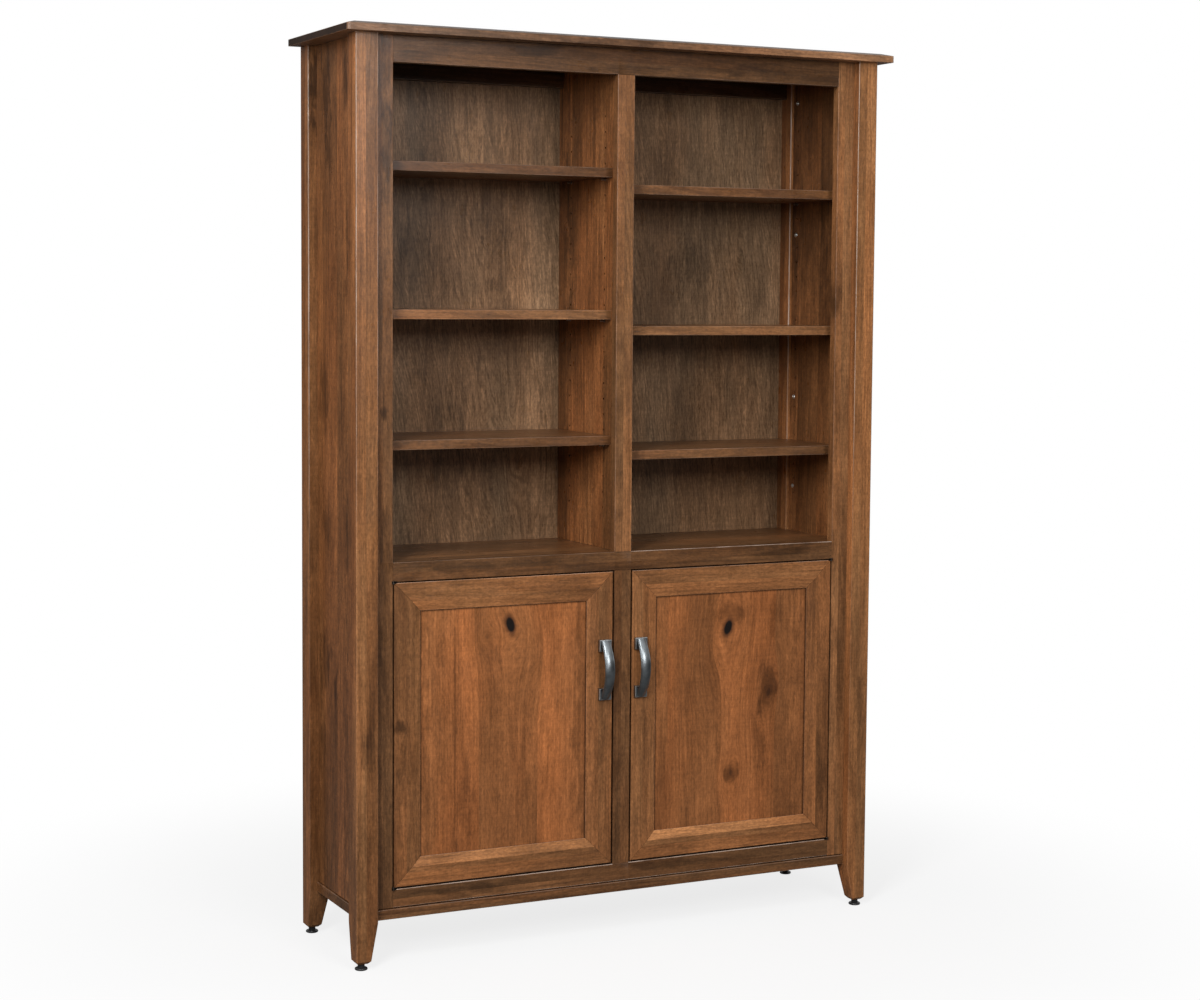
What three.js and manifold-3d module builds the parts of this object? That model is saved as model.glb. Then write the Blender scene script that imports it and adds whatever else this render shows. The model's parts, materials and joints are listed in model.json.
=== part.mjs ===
// Bookcase with two open bays above and two cabinet doors below, in millimetres.
// +Z is up and the front faces -Y. The origin is on the floor, under the middle of the bounding box.
import * as THREE from "three";
import { mergeVertices } from "three/addons/utils/BufferGeometryUtils.js";
import Module from "manifold-3d";

const wasm = await Module();
wasm.setup();

// Case
const overallHeight = 1828.8;
const caseWidth = 1168.4;
const caseDepth = 320;
const boardThickness = 19;
const jointGap = 0.3;

// Top board, bevelled along the top of its front and sides
const topThickness = 19;
const topOverhang = 25.4;
const topBevelRun = 21;
const topBevelDrop = 5.5;

// Posts with tapered legs, on round glides
const postWidth = 45;
const legTipWidth = 31;
const legTipChamfer = 5;
const glideHeight = 12.6;
const glideRadius = 12.7;
const glideInset = 15;
const glideDiscHeight = 4.5;
const glideNeckRadius = 7;
const glideEdge = 1.2;

// Face frame, and the strip under it that goes round the front and the sides
const frameSetback = 20.2;
const stileWidth = 38.1;
const railHeight = 38.1;
const topRailHeight = 51.4;
const middleRailBottom = 757.7;
const stripBottom = 91.5;
const stripHeight = 20.3;
const stripProud = 3;
const stripReveal = 1.8; // open line between the strip and what stands above it
const sidePanelRecess = 19;

// Back
const backThickness = 6;
const backInset = 0.5;
const cleatHeight = 56.5;
const cleatThickness = 19;

// Adjustable shelves on pins
const pinRadius = 2.5;
const pinReach = 9;
const pinFrontSetback = 56;
const pinRearSetback = 20;
const pinPitch = 32;
const pinGridStart = 208.5;
const shelfSetback = 22;
const shelfEndClearance = 0.8;

// Doors
const doorThickness = 19;
const doorGap = 2.2;
const doorLatchGap = 3.2;
const doorFrameWidth = 57.15;
const doorFlatWidth = 38.1;
const doorBevelDrop = 4;
const doorPanelDrop = 6;
const doorPanelThickness = 6.5;
const doorGrooveDepth = 10;

// Knife hinges
const leafLength = 42;
const leafWidth = 11;
const leafSetback = 4.5;
const leafThickness = 1.6;
const knuckleRadius = 3.2;
const hingePinRadius = 1.5;

// Bowed handles
const handleLength = 124;
const handleFootWidth = 28;
const handleStrapWidth = 22;
const handleReach = 32;
const handleStrap = 7;
const handleFootLength = 24.5;
const handleFootHeight = 9;
const handleTipHeight = 8.5;
const handleEdgeInset = 18.8;
const handleCentreHeight = 555.5;

// Magnetic catches
const catchWidth = 24.2;
const catchDepth = 16;
const catchHeight = 42;
const catchDrop = 13;
const strikeWidth = 14;
const strikeHeight = 34;
const strikeThickness = 1.2;

const cutOverrun = 1;
const roundSides = 24;
const pinSides = 12;
const curveSteps = 8;

// Planes of the case
const caseHalf = caseWidth / 2;
const caseFront = (topOverhang - caseDepth) / 2;
const caseBack = caseFront + caseDepth;
const topUnderside = overallHeight - topThickness;
const caseTop = topUnderside - jointGap;
const postInner = caseHalf - postWidth;
const frontPostBack = caseFront + postWidth;
const rearPostFront = caseBack - postWidth;
const panelOuter = caseHalf - sidePanelRecess;
const panelInner = panelOuter - boardThickness;
const frameFront = caseFront + frameSetback;
const frameBack = frameFront + boardThickness;
const openingOuter = postInner - stileWidth;
const openingInner = stileWidth / 2;
const stripTop = stripBottom + stripHeight;
const bottomRailBottom = stripTop + stripReveal;
const bottomRailTop = stripTop + railHeight;
const middleRailTop = middleRailBottom + railHeight;
const topRailBottom = topUnderside - topRailHeight;
const backFront = caseBack - backInset - backThickness;
const insideBack = backFront - jointGap;
const insideFront = frameBack + jointGap;
const dividerHalf = boardThickness / 2;
const cleatBottom = caseTop - cleatHeight;
const cleatFront = insideBack - cleatThickness;
const pinRows = { front: frameBack + pinFrontSetback, rear: rearPostFront - pinRearSetback };

// Rows of the pin grid that carry a shelf, counted from the lowest hole: each shelf stands
// at a share of the height of its own space, on the nearest row
const cabinetShelfShare = 0.45;
const leftShelfShares = [0.21, 0.463, 0.747];
const rightShelfShares = [0.179, 0.431, 0.715];
const nearestRow = (bottom, top, share) => Math.round((bottom + share * (top - bottom) - pinGridStart) / pinPitch);
const cabinetShelfRow = nearestRow(bottomRailTop, middleRailTop - boardThickness, cabinetShelfShare);
const leftShelfRows = leftShelfShares.map((share) => nearestRow(middleRailTop, caseTop, share));
const rightShelfRows = rightShelfShares.map((share) => nearestRow(middleRailTop, caseTop, share));

// Planes of a door, on the side where x is positive
const doorInner = openingInner + doorLatchGap;
const doorOuter = openingOuter - doorGap;
const doorBottom = bottomRailTop + doorGap;
const doorTop = middleRailBottom - doorGap;
const hingeAxis = openingOuter - doorGap / 2;

const caseWood = new THREE.MeshStandardMaterial({ color: 0x6f4630, roughness: 0.5, metalness: 0 });
const frameWood = new THREE.MeshStandardMaterial({ color: 0x64402e, roughness: 0.5, metalness: 0 });
const doorWood = new THREE.MeshStandardMaterial({ color: 0x7d4f33, roughness: 0.5, metalness: 0 });
const shelfWood = new THREE.MeshStandardMaterial({ color: 0x5b3d2e, roughness: 0.5, metalness: 0 });
const backWood = new THREE.MeshStandardMaterial({ color: 0x5c4638, roughness: 0.6, metalness: 0 });
const handleMetal = new THREE.MeshStandardMaterial({ color: 0x45423f, roughness: 0.4, metalness: 0.9 });
const hingeMetal = new THREE.MeshStandardMaterial({ color: 0x3b3530, roughness: 0.4, metalness: 0.9 });
const catchPlastic = new THREE.MeshStandardMaterial({ color: 0x4a3426, roughness: 0.6, metalness: 0 });
const glidePlastic = new THREE.MeshStandardMaterial({ color: 0x17191a, roughness: 0.5, metalness: 0 });

const bookcase = new THREE.Group();

function piece(name, geometry, material) {
  const mesh = new THREE.Mesh(geometry, material);
  mesh.name = name;
  bookcase.add(mesh);
}

// The range from a to b on one side of the middle plane: side is 1 or -1
function across(side, a, b) {
  return side > 0 ? [a, b] : [-b, -a];
}

function block([x0, x1], [y0, y1], [z0, z1]) {
  const box = new THREE.BoxGeometry(x1 - x0, y1 - y0, z1 - z0);
  return box.translate((x0 + x1) / 2, (y0 + y1) / 2, (z0 + z1) / 2);
}

// A round bar along z between two heights
function bar(x, y, [z0, z1], radius, sides) {
  const cylinder = new THREE.CylinderGeometry(radius, radius, z1 - z0, sides);
  return cylinder.rotateX(Math.PI / 2).translate(x, y, (z0 + z1) / 2);
}

function toSolid(geometry) {
  const plain = geometry.clone();
  plain.deleteAttribute("normal");
  plain.deleteAttribute("uv");
  const merged = mergeVertices(plain);
  const mesh = new wasm.Mesh({
    numProp: 3,
    vertProperties: new Float32Array(merged.attributes.position.array),
    triVerts: new Uint32Array(merged.index.array),
  });
  return new wasm.Manifold(mesh);
}

function toGeometry(solid) {
  const mesh = solid.getMesh();
  const geometry = new THREE.BufferGeometry();
  geometry.setAttribute("position", new THREE.BufferAttribute(new Float32Array(mesh.vertProperties), 3));
  geometry.setIndex(new THREE.BufferAttribute(new Uint32Array(mesh.triVerts), 1));
  const flat = geometry.toNonIndexed();
  flat.computeVertexNormals();
  return flat;
}

function join(first, ...others) {
  return toGeometry(others.reduce((sum, other) => sum.add(toSolid(other)), toSolid(first)));
}

function cut(first, ...cutters) {
  return toGeometry(cutters.reduce((rest, cutter) => rest.subtract(toSolid(cutter)), toSolid(first)));
}

// A closed body through rectangles { x, y, z } one above the other
function loft(levels) {
  const corners = levels.flatMap(({ x, y, z }) => [
    [x[0], y[0], z],
    [x[1], y[0], z],
    [x[1], y[1], z],
    [x[0], y[1], z],
  ]);
  const faces = [2, 1, 0, 3, 2, 0];
  for (let level = 0; level + 1 < levels.length; level += 1) {
    for (let side = 0; side < 4; side += 1) {
      const a = 4 * level + side;
      const b = 4 * level + ((side + 1) % 4);
      faces.push(a, b, b + 4, a, b + 4, a + 4);
    }
  }
  const last = corners.length - 4;
  faces.push(last, last + 1, last + 2, last, last + 2, last + 3);
  const geometry = new THREE.BufferGeometry();
  geometry.setAttribute("position", new THREE.Float32BufferAttribute(corners.flat(), 3));
  geometry.setIndex(faces);
  const flat = geometry.toNonIndexed();
  flat.computeVertexNormals();
  return flat;
}

function makeTopBoard() {
  const halfWidth = caseHalf + topOverhang;
  const level = (z, inset) => ({
    z,
    x: [inset - halfWidth, halfWidth - inset],
    y: [caseFront - topOverhang + inset, caseBack],
  });
  const board = loft([level(topUnderside, 0), level(overallHeight - topBevelDrop, 0), level(overallHeight, topBevelRun)]);
  piece("top_board", board, caseWood);
}

// A post and its leg, whose two inner faces taper below the case, with a chamfered tip
function makePost(name, side, rear) {
  const level = (z, width, inset) => ({
    z,
    x: across(side, caseHalf - width + inset, caseHalf - inset),
    y: rear ? [caseBack - width + inset, caseBack - inset] : [caseFront + inset, caseFront + width - inset],
  });
  const legBottom = glideHeight + jointGap;
  const levels = [
    level(legBottom, legTipWidth, legTipChamfer),
    level(legBottom + legTipChamfer, legTipWidth, 0),
    level(stripBottom, postWidth, 0),
    level(caseTop, postWidth, 0),
  ];
  piece(name, loft(levels), caseWood);
}

function makeGlide(name, side, rear) {
  const profile = [
    [0, 0],
    [glideRadius - glideEdge, 0],
    [glideRadius, glideEdge],
    [glideRadius, glideDiscHeight - glideEdge],
    [glideRadius - glideEdge, glideDiscHeight],
    [glideNeckRadius, glideDiscHeight + glideEdge],
    [glideNeckRadius, glideHeight],
    [0, glideHeight],
  ].map(([radius, height]) => new THREE.Vector2(radius, height));
  const glide = new THREE.LatheGeometry(profile, roundSides).rotateX(Math.PI / 2);
  const y = rear ? caseBack - glideInset : caseFront + glideInset;
  piece(name, glide.translate(side * (caseHalf - glideInset), y, 0), glidePlastic);
}

// Pins that stand out of a board's face by their reach, sunk as deep into it
function shelfPins(side, face, rows) {
  const pins = [];
  for (const row of rows) {
    for (const y of Object.values(pinRows)) {
      const pin = new THREE.CylinderGeometry(pinRadius, pinRadius, 2 * pinReach, pinSides);
      pins.push(pin.rotateZ(Math.PI / 2).translate(side * face, y, pinGridStart + row * pinPitch));
    }
  }
  return pins;
}

function makeSidePanel(name, side, rows) {
  const panel = block(
    across(side, panelInner, panelOuter),
    [frontPostBack + jointGap, rearPostFront - jointGap],
    [stripTop + stripReveal, caseTop],
  );
  piece(name, join(panel, ...shelfPins(side, panelInner, rows)), caseWood);
}

// Boards between the bays: the upper one is notched round the cleat
function makeDividers() {
  const x = [-dividerHalf, dividerHalf];
  const y = [insideFront, insideBack];
  const upper = block(x, y, [middleRailTop + jointGap, caseTop]);
  const notch = block(
    [x[0] - cutOverrun, x[1] + cutOverrun],
    [cleatFront - jointGap, insideBack + cutOverrun],
    [cleatBottom - jointGap, caseTop + cutOverrun],
  );
  const upperPins = [...shelfPins(-1, dividerHalf, leftShelfRows), ...shelfPins(1, dividerHalf, rightShelfRows)];
  piece("upper_divider", join(cut(upper, notch), ...upperPins), shelfWood);
  const lower = block(x, y, [bottomRailTop + jointGap, middleRailTop - boardThickness - jointGap]);
  const lowerPins = [...shelfPins(-1, dividerHalf, [cabinetShelfRow]), ...shelfPins(1, dividerHalf, [cabinetShelfRow])];
  piece("lower_divider", join(lower, ...lowerPins), shelfWood);
}

// A board from side panel to side panel, notched round the four posts
function fullWidthBoard(top) {
  const edge = panelInner - jointGap;
  const notched = postInner - jointGap;
  const frontNotch = frontPostBack + jointGap;
  const rearNotch = rearPostFront - jointGap;
  const outline = [
    [notched, insideFront],
    [notched, frontNotch],
    [edge, frontNotch],
    [edge, rearNotch],
    [notched, rearNotch],
    [notched, insideBack],
  ];
  const mirrored = outline.map(([x, y]) => [-x, y]).reverse();
  return slab([...outline, ...mirrored], top);
}

// A board of one thickness with the given outline, under the height top
function slab(outline, top) {
  const shape = new THREE.Shape(outline.map(([x, y]) => new THREE.Vector2(x, y)));
  const board = new THREE.ExtrudeGeometry(shape, { depth: boardThickness, bevelEnabled: false });
  return board.translate(0, 0, top - boardThickness);
}

// A loose shelf on four pins, notched round the rear post
function makeShelf(name, side, row) {
  const inner = dividerHalf + shelfEndClearance;
  const outer = panelInner - shelfEndClearance;
  const notched = postInner - shelfEndClearance;
  const back = insideBack - shelfEndClearance;
  const rearNotch = rearPostFront - shelfEndClearance;
  const outline = [
    [inner, frameBack + shelfSetback],
    [outer, frameBack + shelfSetback],
    [outer, rearNotch],
    [notched, rearNotch],
    [notched, back],
    [inner, back],
  ].map(([x, y]) => [side * x, y]);
  if (side < 0) outline.reverse();
  const underside = pinGridStart + row * pinPitch + pinRadius + jointGap;
  piece(name, slab(outline, underside + boardThickness), shelfWood);
}

function makeBack() {
  const inner = postInner - jointGap;
  const y = [backFront, backFront + backThickness];
  piece("back_panel", block([-inner, inner], y, [stripBottom, caseTop]), backWood);
  piece("rear_top_cleat", block([-inner, inner], [cleatFront, insideBack], [cleatBottom, caseTop]), shelfWood);
}

// Strips under the face frame and under the side panels
function makeBaseStrips() {
  const inner = postInner - jointGap;
  const z = [stripBottom, stripTop];
  piece("front_base_strip", block([-inner, inner], [frameFront - stripProud, frameBack], z), frameWood);
  for (const [name, side] of [["left_base_strip", -1], ["right_base_strip", 1]]) {
    const x = across(side, panelInner, panelOuter + stripProud);
    piece(name, block(x, [frontPostBack + jointGap, rearPostFront - jointGap], z), caseWood);
  }
}

// A leaf in plan, grown by a margin: a plate, a neck and the round knuckle on the axis
function leafPlan(side, z, margin) {
  const x = (a, b) => across(side, hingeAxis - b - margin, hingeAxis - a + margin);
  const y = (a, b) => [frameFront + a - margin, frameFront + b + margin];
  const plate = block(x(0, leafLength), y(leafSetback, leafSetback + leafWidth), z);
  const neck = block(x(0, 2 * knuckleRadius), y(0, leafSetback + knuckleRadius), z);
  const knuckle = bar(side * hingeAxis, frameFront, z, knuckleRadius + margin, roundSides);
  return join(plate, neck, knuckle);
}

// The pocket of a leaf, open towards the gap between the door and the rail: up is 1 where it opens upwards
function leafPocket(side, edge, up) {
  return leafPlan(side, sorted(edge - up * (leafThickness + jointGap), edge + up * cutOverrun), jointGap);
}

function sorted(a, b) {
  return [Math.min(a, b), Math.max(a, b)];
}

// The edges of the frame and of the door at the two ends of a door: up is 1 at the top
const hingeEnds = [
  { end: "top", up: 1, frameEdge: middleRailBottom, doorEdge: doorTop },
  { end: "bottom", up: -1, frameEdge: bottomRailTop, doorEdge: doorBottom },
];

// Pockets of one side: for the leaves in the rails and in the door, and for the knuckles in the stile
function railPockets(side) {
  return hingeEnds.map(({ up, frameEdge }) => leafPocket(side, frameEdge, -up));
}

function doorPockets(side) {
  return hingeEnds.map(({ up, doorEdge }) => leafPocket(side, doorEdge, up));
}

function stilePockets(side) {
  const reach = leafThickness + jointGap;
  return hingeEnds.map(({ up, frameEdge, doorEdge }) => {
    const z = sorted(frameEdge + up * reach, doorEdge - up * reach);
    return bar(side * hingeAxis, frameFront, z, knuckleRadius + jointGap, roundSides);
  });
}

function makeHinge(door, side, { end, up, frameEdge, doorEdge }) {
  const frameRange = sorted(frameEdge, frameEdge + up * leafThickness);
  const doorRange = sorted(doorEdge, doorEdge - up * leafThickness);
  const pinRange = sorted(frameEdge + up * leafThickness, doorEdge - up * leafThickness);
  const pin = bar(side * hingeAxis, frameFront, pinRange, hingePinRadius, roundSides);
  const holeRange = [doorRange[0] - cutOverrun, doorRange[1] + cutOverrun];
  const hole = bar(side * hingeAxis, frameFront, holeRange, hingePinRadius + jointGap, roundSides);
  piece(`${door}_${end}_hinge_frame_leaf`, join(leafPlan(side, frameRange, 0), pin), hingeMetal);
  piece(`${door}_${end}_hinge_door_leaf`, cut(leafPlan(side, doorRange, 0), hole), hingeMetal);
}

function makeFaceFrame() {
  const y = [frameFront, frameBack];
  for (const [name, side] of [["left_stile", -1], ["right_stile", 1]]) {
    const stile = block(across(side, openingOuter, postInner - jointGap), y, [bottomRailBottom, caseTop]);
    piece(name, cut(stile, ...stilePockets(side)), frameWood);
  }
  const between = [jointGap - openingOuter, openingOuter - jointGap];
  const pockets = [...railPockets(-1), ...railPockets(1)];
  piece("top_rail", block(between, y, [topRailBottom, caseTop]), frameWood);
  piece("middle_rail", cut(block(between, y, [middleRailBottom, middleRailTop]), ...pockets), frameWood);
  piece("bottom_rail", cut(block(between, y, [bottomRailBottom, bottomRailTop]), ...pockets), frameWood);
  const x = [-openingInner, openingInner];
  piece("upper_mid_stile", block(x, y, [middleRailTop + jointGap, topRailBottom - jointGap]), frameWood);
  piece("lower_mid_stile", block(x, y, [bottomRailTop + jointGap, middleRailBottom - jointGap]), frameWood);
}

// One mitred member of a door frame. place(inward, depth, along) gives a point of the door,
// and length is the member's full length between its two mitre tips.
function mitredMember(length, place) {
  const grooveBack = doorPanelDrop + doorPanelThickness + jointGap;
  const grooveFloor = doorFrameWidth - doorGrooveDepth;
  const profile = new THREE.Shape(
    [
      [0, 0],
      [doorFlatWidth, 0],
      [doorFrameWidth, doorBevelDrop],
      [doorFrameWidth, doorPanelDrop - jointGap],
      [grooveFloor, doorPanelDrop - jointGap],
      [grooveFloor, grooveBack],
      [doorFrameWidth, grooveBack],
      [doorFrameWidth, doorThickness],
      [0, doorThickness],
    ].map(([inward, depth]) => new THREE.Vector2(inward, depth)),
  );
  const member = new THREE.ExtrudeGeometry(profile, { depth: 1, bevelEnabled: false });
  const points = member.attributes.position;
  for (let i = 0; i < points.count; i += 1) {
    const inward = points.getX(i);
    const mitre = inward + jointGap;
    const along = mitre + points.getZ(i) * (length - 2 * mitre);
    points.setXYZ(i, ...place(inward, points.getY(i), along));
  }
  return faceOutwards(member);
}

// Turns the faces of a mirrored body outwards again
function faceOutwards(geometry) {
  const points = geometry.attributes.position;
  const [a, b, c] = [new THREE.Vector3(), new THREE.Vector3(), new THREE.Vector3()];
  let volume = 0;
  for (let i = 0; i < points.count; i += 3) {
    a.fromBufferAttribute(points, i);
    b.fromBufferAttribute(points, i + 1);
    c.fromBufferAttribute(points, i + 2);
    volume += a.dot(b.cross(c));
  }
  for (let i = 0; volume < 0 && i < points.count; i += 3) {
    b.fromBufferAttribute(points, i + 1);
    c.fromBufferAttribute(points, i + 2);
    points.setXYZ(i + 1, c.x, c.y, c.z);
    points.setXYZ(i + 2, b.x, b.y, b.z);
  }
  geometry.computeVertexNormals();
  return geometry;
}

function makeDoor(door, side) {
  const width = doorOuter - doorInner;
  const height = doorTop - doorBottom;
  const pockets = doorPockets(side);
  const hingeStile = mitredMember(height, (u, y, t) => [side * (doorOuter - u), frameFront + y, doorBottom + t]);
  const latchStile = mitredMember(height, (u, y, t) => [side * (doorInner + u), frameFront + y, doorBottom + t]);
  const topRail = mitredMember(width, (u, y, t) => [side * (doorInner + t), frameFront + y, doorTop - u]);
  const bottomRail = mitredMember(width, (u, y, t) => [side * (doorInner + t), frameFront + y, doorBottom + u]);
  piece(`${door}_hinge_stile`, cut(hingeStile, ...pockets), doorWood);
  piece(`${door}_latch_stile`, latchStile, doorWood);
  piece(`${door}_top_rail`, cut(topRail, ...pockets), doorWood);
  piece(`${door}_bottom_rail`, cut(bottomRail, ...pockets), doorWood);
  const panelInset = doorFrameWidth - doorGrooveDepth + jointGap;
  const panel = block(
    across(side, doorInner + panelInset, doorOuter - panelInset),
    [frameFront + doorPanelDrop, frameFront + doorPanelDrop + doorPanelThickness],
    [doorBottom + panelInset, doorTop - panelInset],
  );
  piece(`${door}_panel`, panel, doorWood);
  hingeEnds.forEach((place) => makeHinge(door, side, place));
}

// A strap bowed out between two square feet
function makeHandle(name, side) {
  const half = handleLength / 2;
  const footEnd = half - handleFootLength;
  const inside = handleReach - handleStrap;
  const outerControl = half - handleReach;
  const innerControl = footEnd - handleFootHeight;
  const profile = new THREE.Shape();
  profile.moveTo(jointGap, -half);
  profile.lineTo(handleTipHeight, -half);
  profile.quadraticCurveTo(handleReach, -outerControl, handleReach, 0);
  profile.quadraticCurveTo(handleReach, outerControl, handleTipHeight, half);
  profile.lineTo(jointGap, half);
  profile.lineTo(jointGap, footEnd);
  profile.lineTo(handleFootHeight, footEnd);
  profile.quadraticCurveTo(inside, innerControl, inside, 0);
  profile.quadraticCurveTo(inside, -innerControl, handleFootHeight, -footEnd);
  profile.lineTo(jointGap, -footEnd);
  const strap = new THREE.ExtrudeGeometry(profile, {
    depth: handleStrapWidth,
    bevelEnabled: false,
    curveSegments: curveSteps,
  });
  const centre = side * (doorInner + handleEdgeInset);
  const points = strap.attributes.position;
  for (let i = 0; i < points.count; i += 1) {
    const [reach, up, wide] = [points.getX(i), points.getY(i), points.getZ(i)];
    points.setXYZ(i, centre - handleStrapWidth / 2 + wide, frameFront - reach, handleCentreHeight + up);
  }
  const feet = [-1, 1].map((end) => block(
    [centre - handleFootWidth / 2, centre + handleFootWidth / 2],
    [frameFront - handleTipHeight, frameFront - jointGap],
    sorted(handleCentreHeight + end * footEnd, handleCentreHeight + end * half),
  ));
  piece(name, join(faceOutwards(strap), ...feet), handleMetal);
}

// A catch on the divider behind the middle of the case, and the plate on the door that it holds
function makeCatch(door, side) {
  const plateBack = frameFront + doorThickness + jointGap + strikeThickness;
  const top = middleRailBottom - catchDrop;
  const housing = block(
    across(side, dividerHalf + jointGap, dividerHalf + catchWidth),
    [plateBack + jointGap, plateBack + jointGap + catchDepth],
    [top - catchHeight, top],
  );
  piece(`${door}_catch`, housing, catchPlastic);
  const middle = top - catchHeight / 2;
  const strike = block(
    across(side, doorInner + jointGap, doorInner + jointGap + strikeWidth),
    [plateBack - strikeThickness, plateBack],
    [middle - strikeHeight / 2, middle + strikeHeight / 2],
  );
  piece(`${door}_strike_plate`, strike, hingeMetal);
}

makeTopBoard();
for (const [hand, side] of [["left", -1], ["right", 1]]) {
  for (const [end, rear] of [["front", false], ["rear", true]]) {
    makePost(`${end}_${hand}_post`, side, rear);
    makeGlide(`${end}_${hand}_glide`, side, rear);
  }
}
makeSidePanel("left_side_panel", -1, [cabinetShelfRow, ...leftShelfRows]);
makeSidePanel("right_side_panel", 1, [cabinetShelfRow, ...rightShelfRows]);
makeDividers();
makeBack();
makeBaseStrips();
makeFaceFrame();
piece("fixed_deck", fullWidthBoard(middleRailTop), shelfWood);
piece("cabinet_floor", fullWidthBoard(bottomRailTop), shelfWood);
for (const [hand, side, rows] of [["left", -1, leftShelfRows], ["right", 1, rightShelfRows]]) {
  rows.forEach((row, index) => makeShelf(`${hand}_shelf_${index + 1}`, side, row));
  makeShelf(`${hand}_cabinet_shelf`, side, cabinetShelfRow);
  makeDoor(`${hand}_door`, side);
  makeHandle(`${hand}_handle`, side);
  makeCatch(`${hand}_door`, side);
}

export default bookcase;
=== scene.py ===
import json
import math
import random

import bmesh
import bpy
from mathutils import Matrix, Vector

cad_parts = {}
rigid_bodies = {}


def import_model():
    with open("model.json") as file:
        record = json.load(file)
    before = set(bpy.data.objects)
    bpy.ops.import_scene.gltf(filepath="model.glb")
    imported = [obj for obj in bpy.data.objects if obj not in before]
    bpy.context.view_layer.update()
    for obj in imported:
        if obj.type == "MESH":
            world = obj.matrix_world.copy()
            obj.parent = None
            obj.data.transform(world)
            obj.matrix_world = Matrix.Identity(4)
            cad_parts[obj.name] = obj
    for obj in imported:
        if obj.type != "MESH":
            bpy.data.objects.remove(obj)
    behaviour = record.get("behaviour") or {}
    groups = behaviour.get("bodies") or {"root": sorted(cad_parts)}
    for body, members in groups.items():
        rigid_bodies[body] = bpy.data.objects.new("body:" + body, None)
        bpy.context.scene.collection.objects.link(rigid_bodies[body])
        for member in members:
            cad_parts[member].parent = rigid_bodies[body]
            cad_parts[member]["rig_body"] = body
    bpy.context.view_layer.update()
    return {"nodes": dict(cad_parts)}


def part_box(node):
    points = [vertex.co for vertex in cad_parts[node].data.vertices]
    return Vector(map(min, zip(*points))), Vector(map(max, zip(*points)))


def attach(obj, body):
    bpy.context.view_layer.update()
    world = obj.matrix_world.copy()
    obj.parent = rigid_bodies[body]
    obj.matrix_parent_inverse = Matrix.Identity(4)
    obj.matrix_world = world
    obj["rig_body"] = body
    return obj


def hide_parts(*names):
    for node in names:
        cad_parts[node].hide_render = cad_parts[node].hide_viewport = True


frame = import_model()
NODES = frame["nodes"]
HANDS = (("left", -1), ("right", 1))

# The photo's camera. AXIS_PIXEL is where its axis meets the picture
IMAGE_WIDTH, IMAGE_HEIGHT, SENSOR_WIDTH = 1200, 1000, 36
FOCAL_PIXELS = 2263.6
CAMERA_PLACE = Vector((-2.0855, -4.2181, 1.3161))
CAMERA_AZIMUTH, CAMERA_PITCH, CAMERA_ROLL = (math.radians(a) for a in (26.34, 4.352, 0.416))
AXIS_PIXEL = (597.2, 467.8)

# Lengths of the case, in metres, and the distance within which two places count as one
NEAR = 1e-4
BOARD = 0.019
PIN_RADIUS = 0.0025
PIN_PITCH = 0.032
PIN_GRID_START = 0.2085
PIN_COLUMNS = (-0.0521, 0.1077)
HOLE_DEPTH = 0.010
UPPER_HOLES = range(21, 47)
CABINET_HOLES = range(2, 14)
DECK_MIDDLE = 0.7863
DOOR_OPENING = (0.1498, 0.7578)
DOOR_FRAME = 0.05715
SPLICE_HEIGHT, SPLICE_WIDTH, SPLICE_DEPTH = 1.1365, 0.0007, 0.0004
SHELVES = {
    "left": (("left_cabinet_shelf", 7), ("left_shelf_1", 25), ("left_shelf_2", 33), ("left_shelf_3", 42)),
    "right": (("right_cabinet_shelf", 7), ("right_shelf_1", 24), ("right_shelf_2", 32), ("right_shelf_3", 41)),
}


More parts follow.
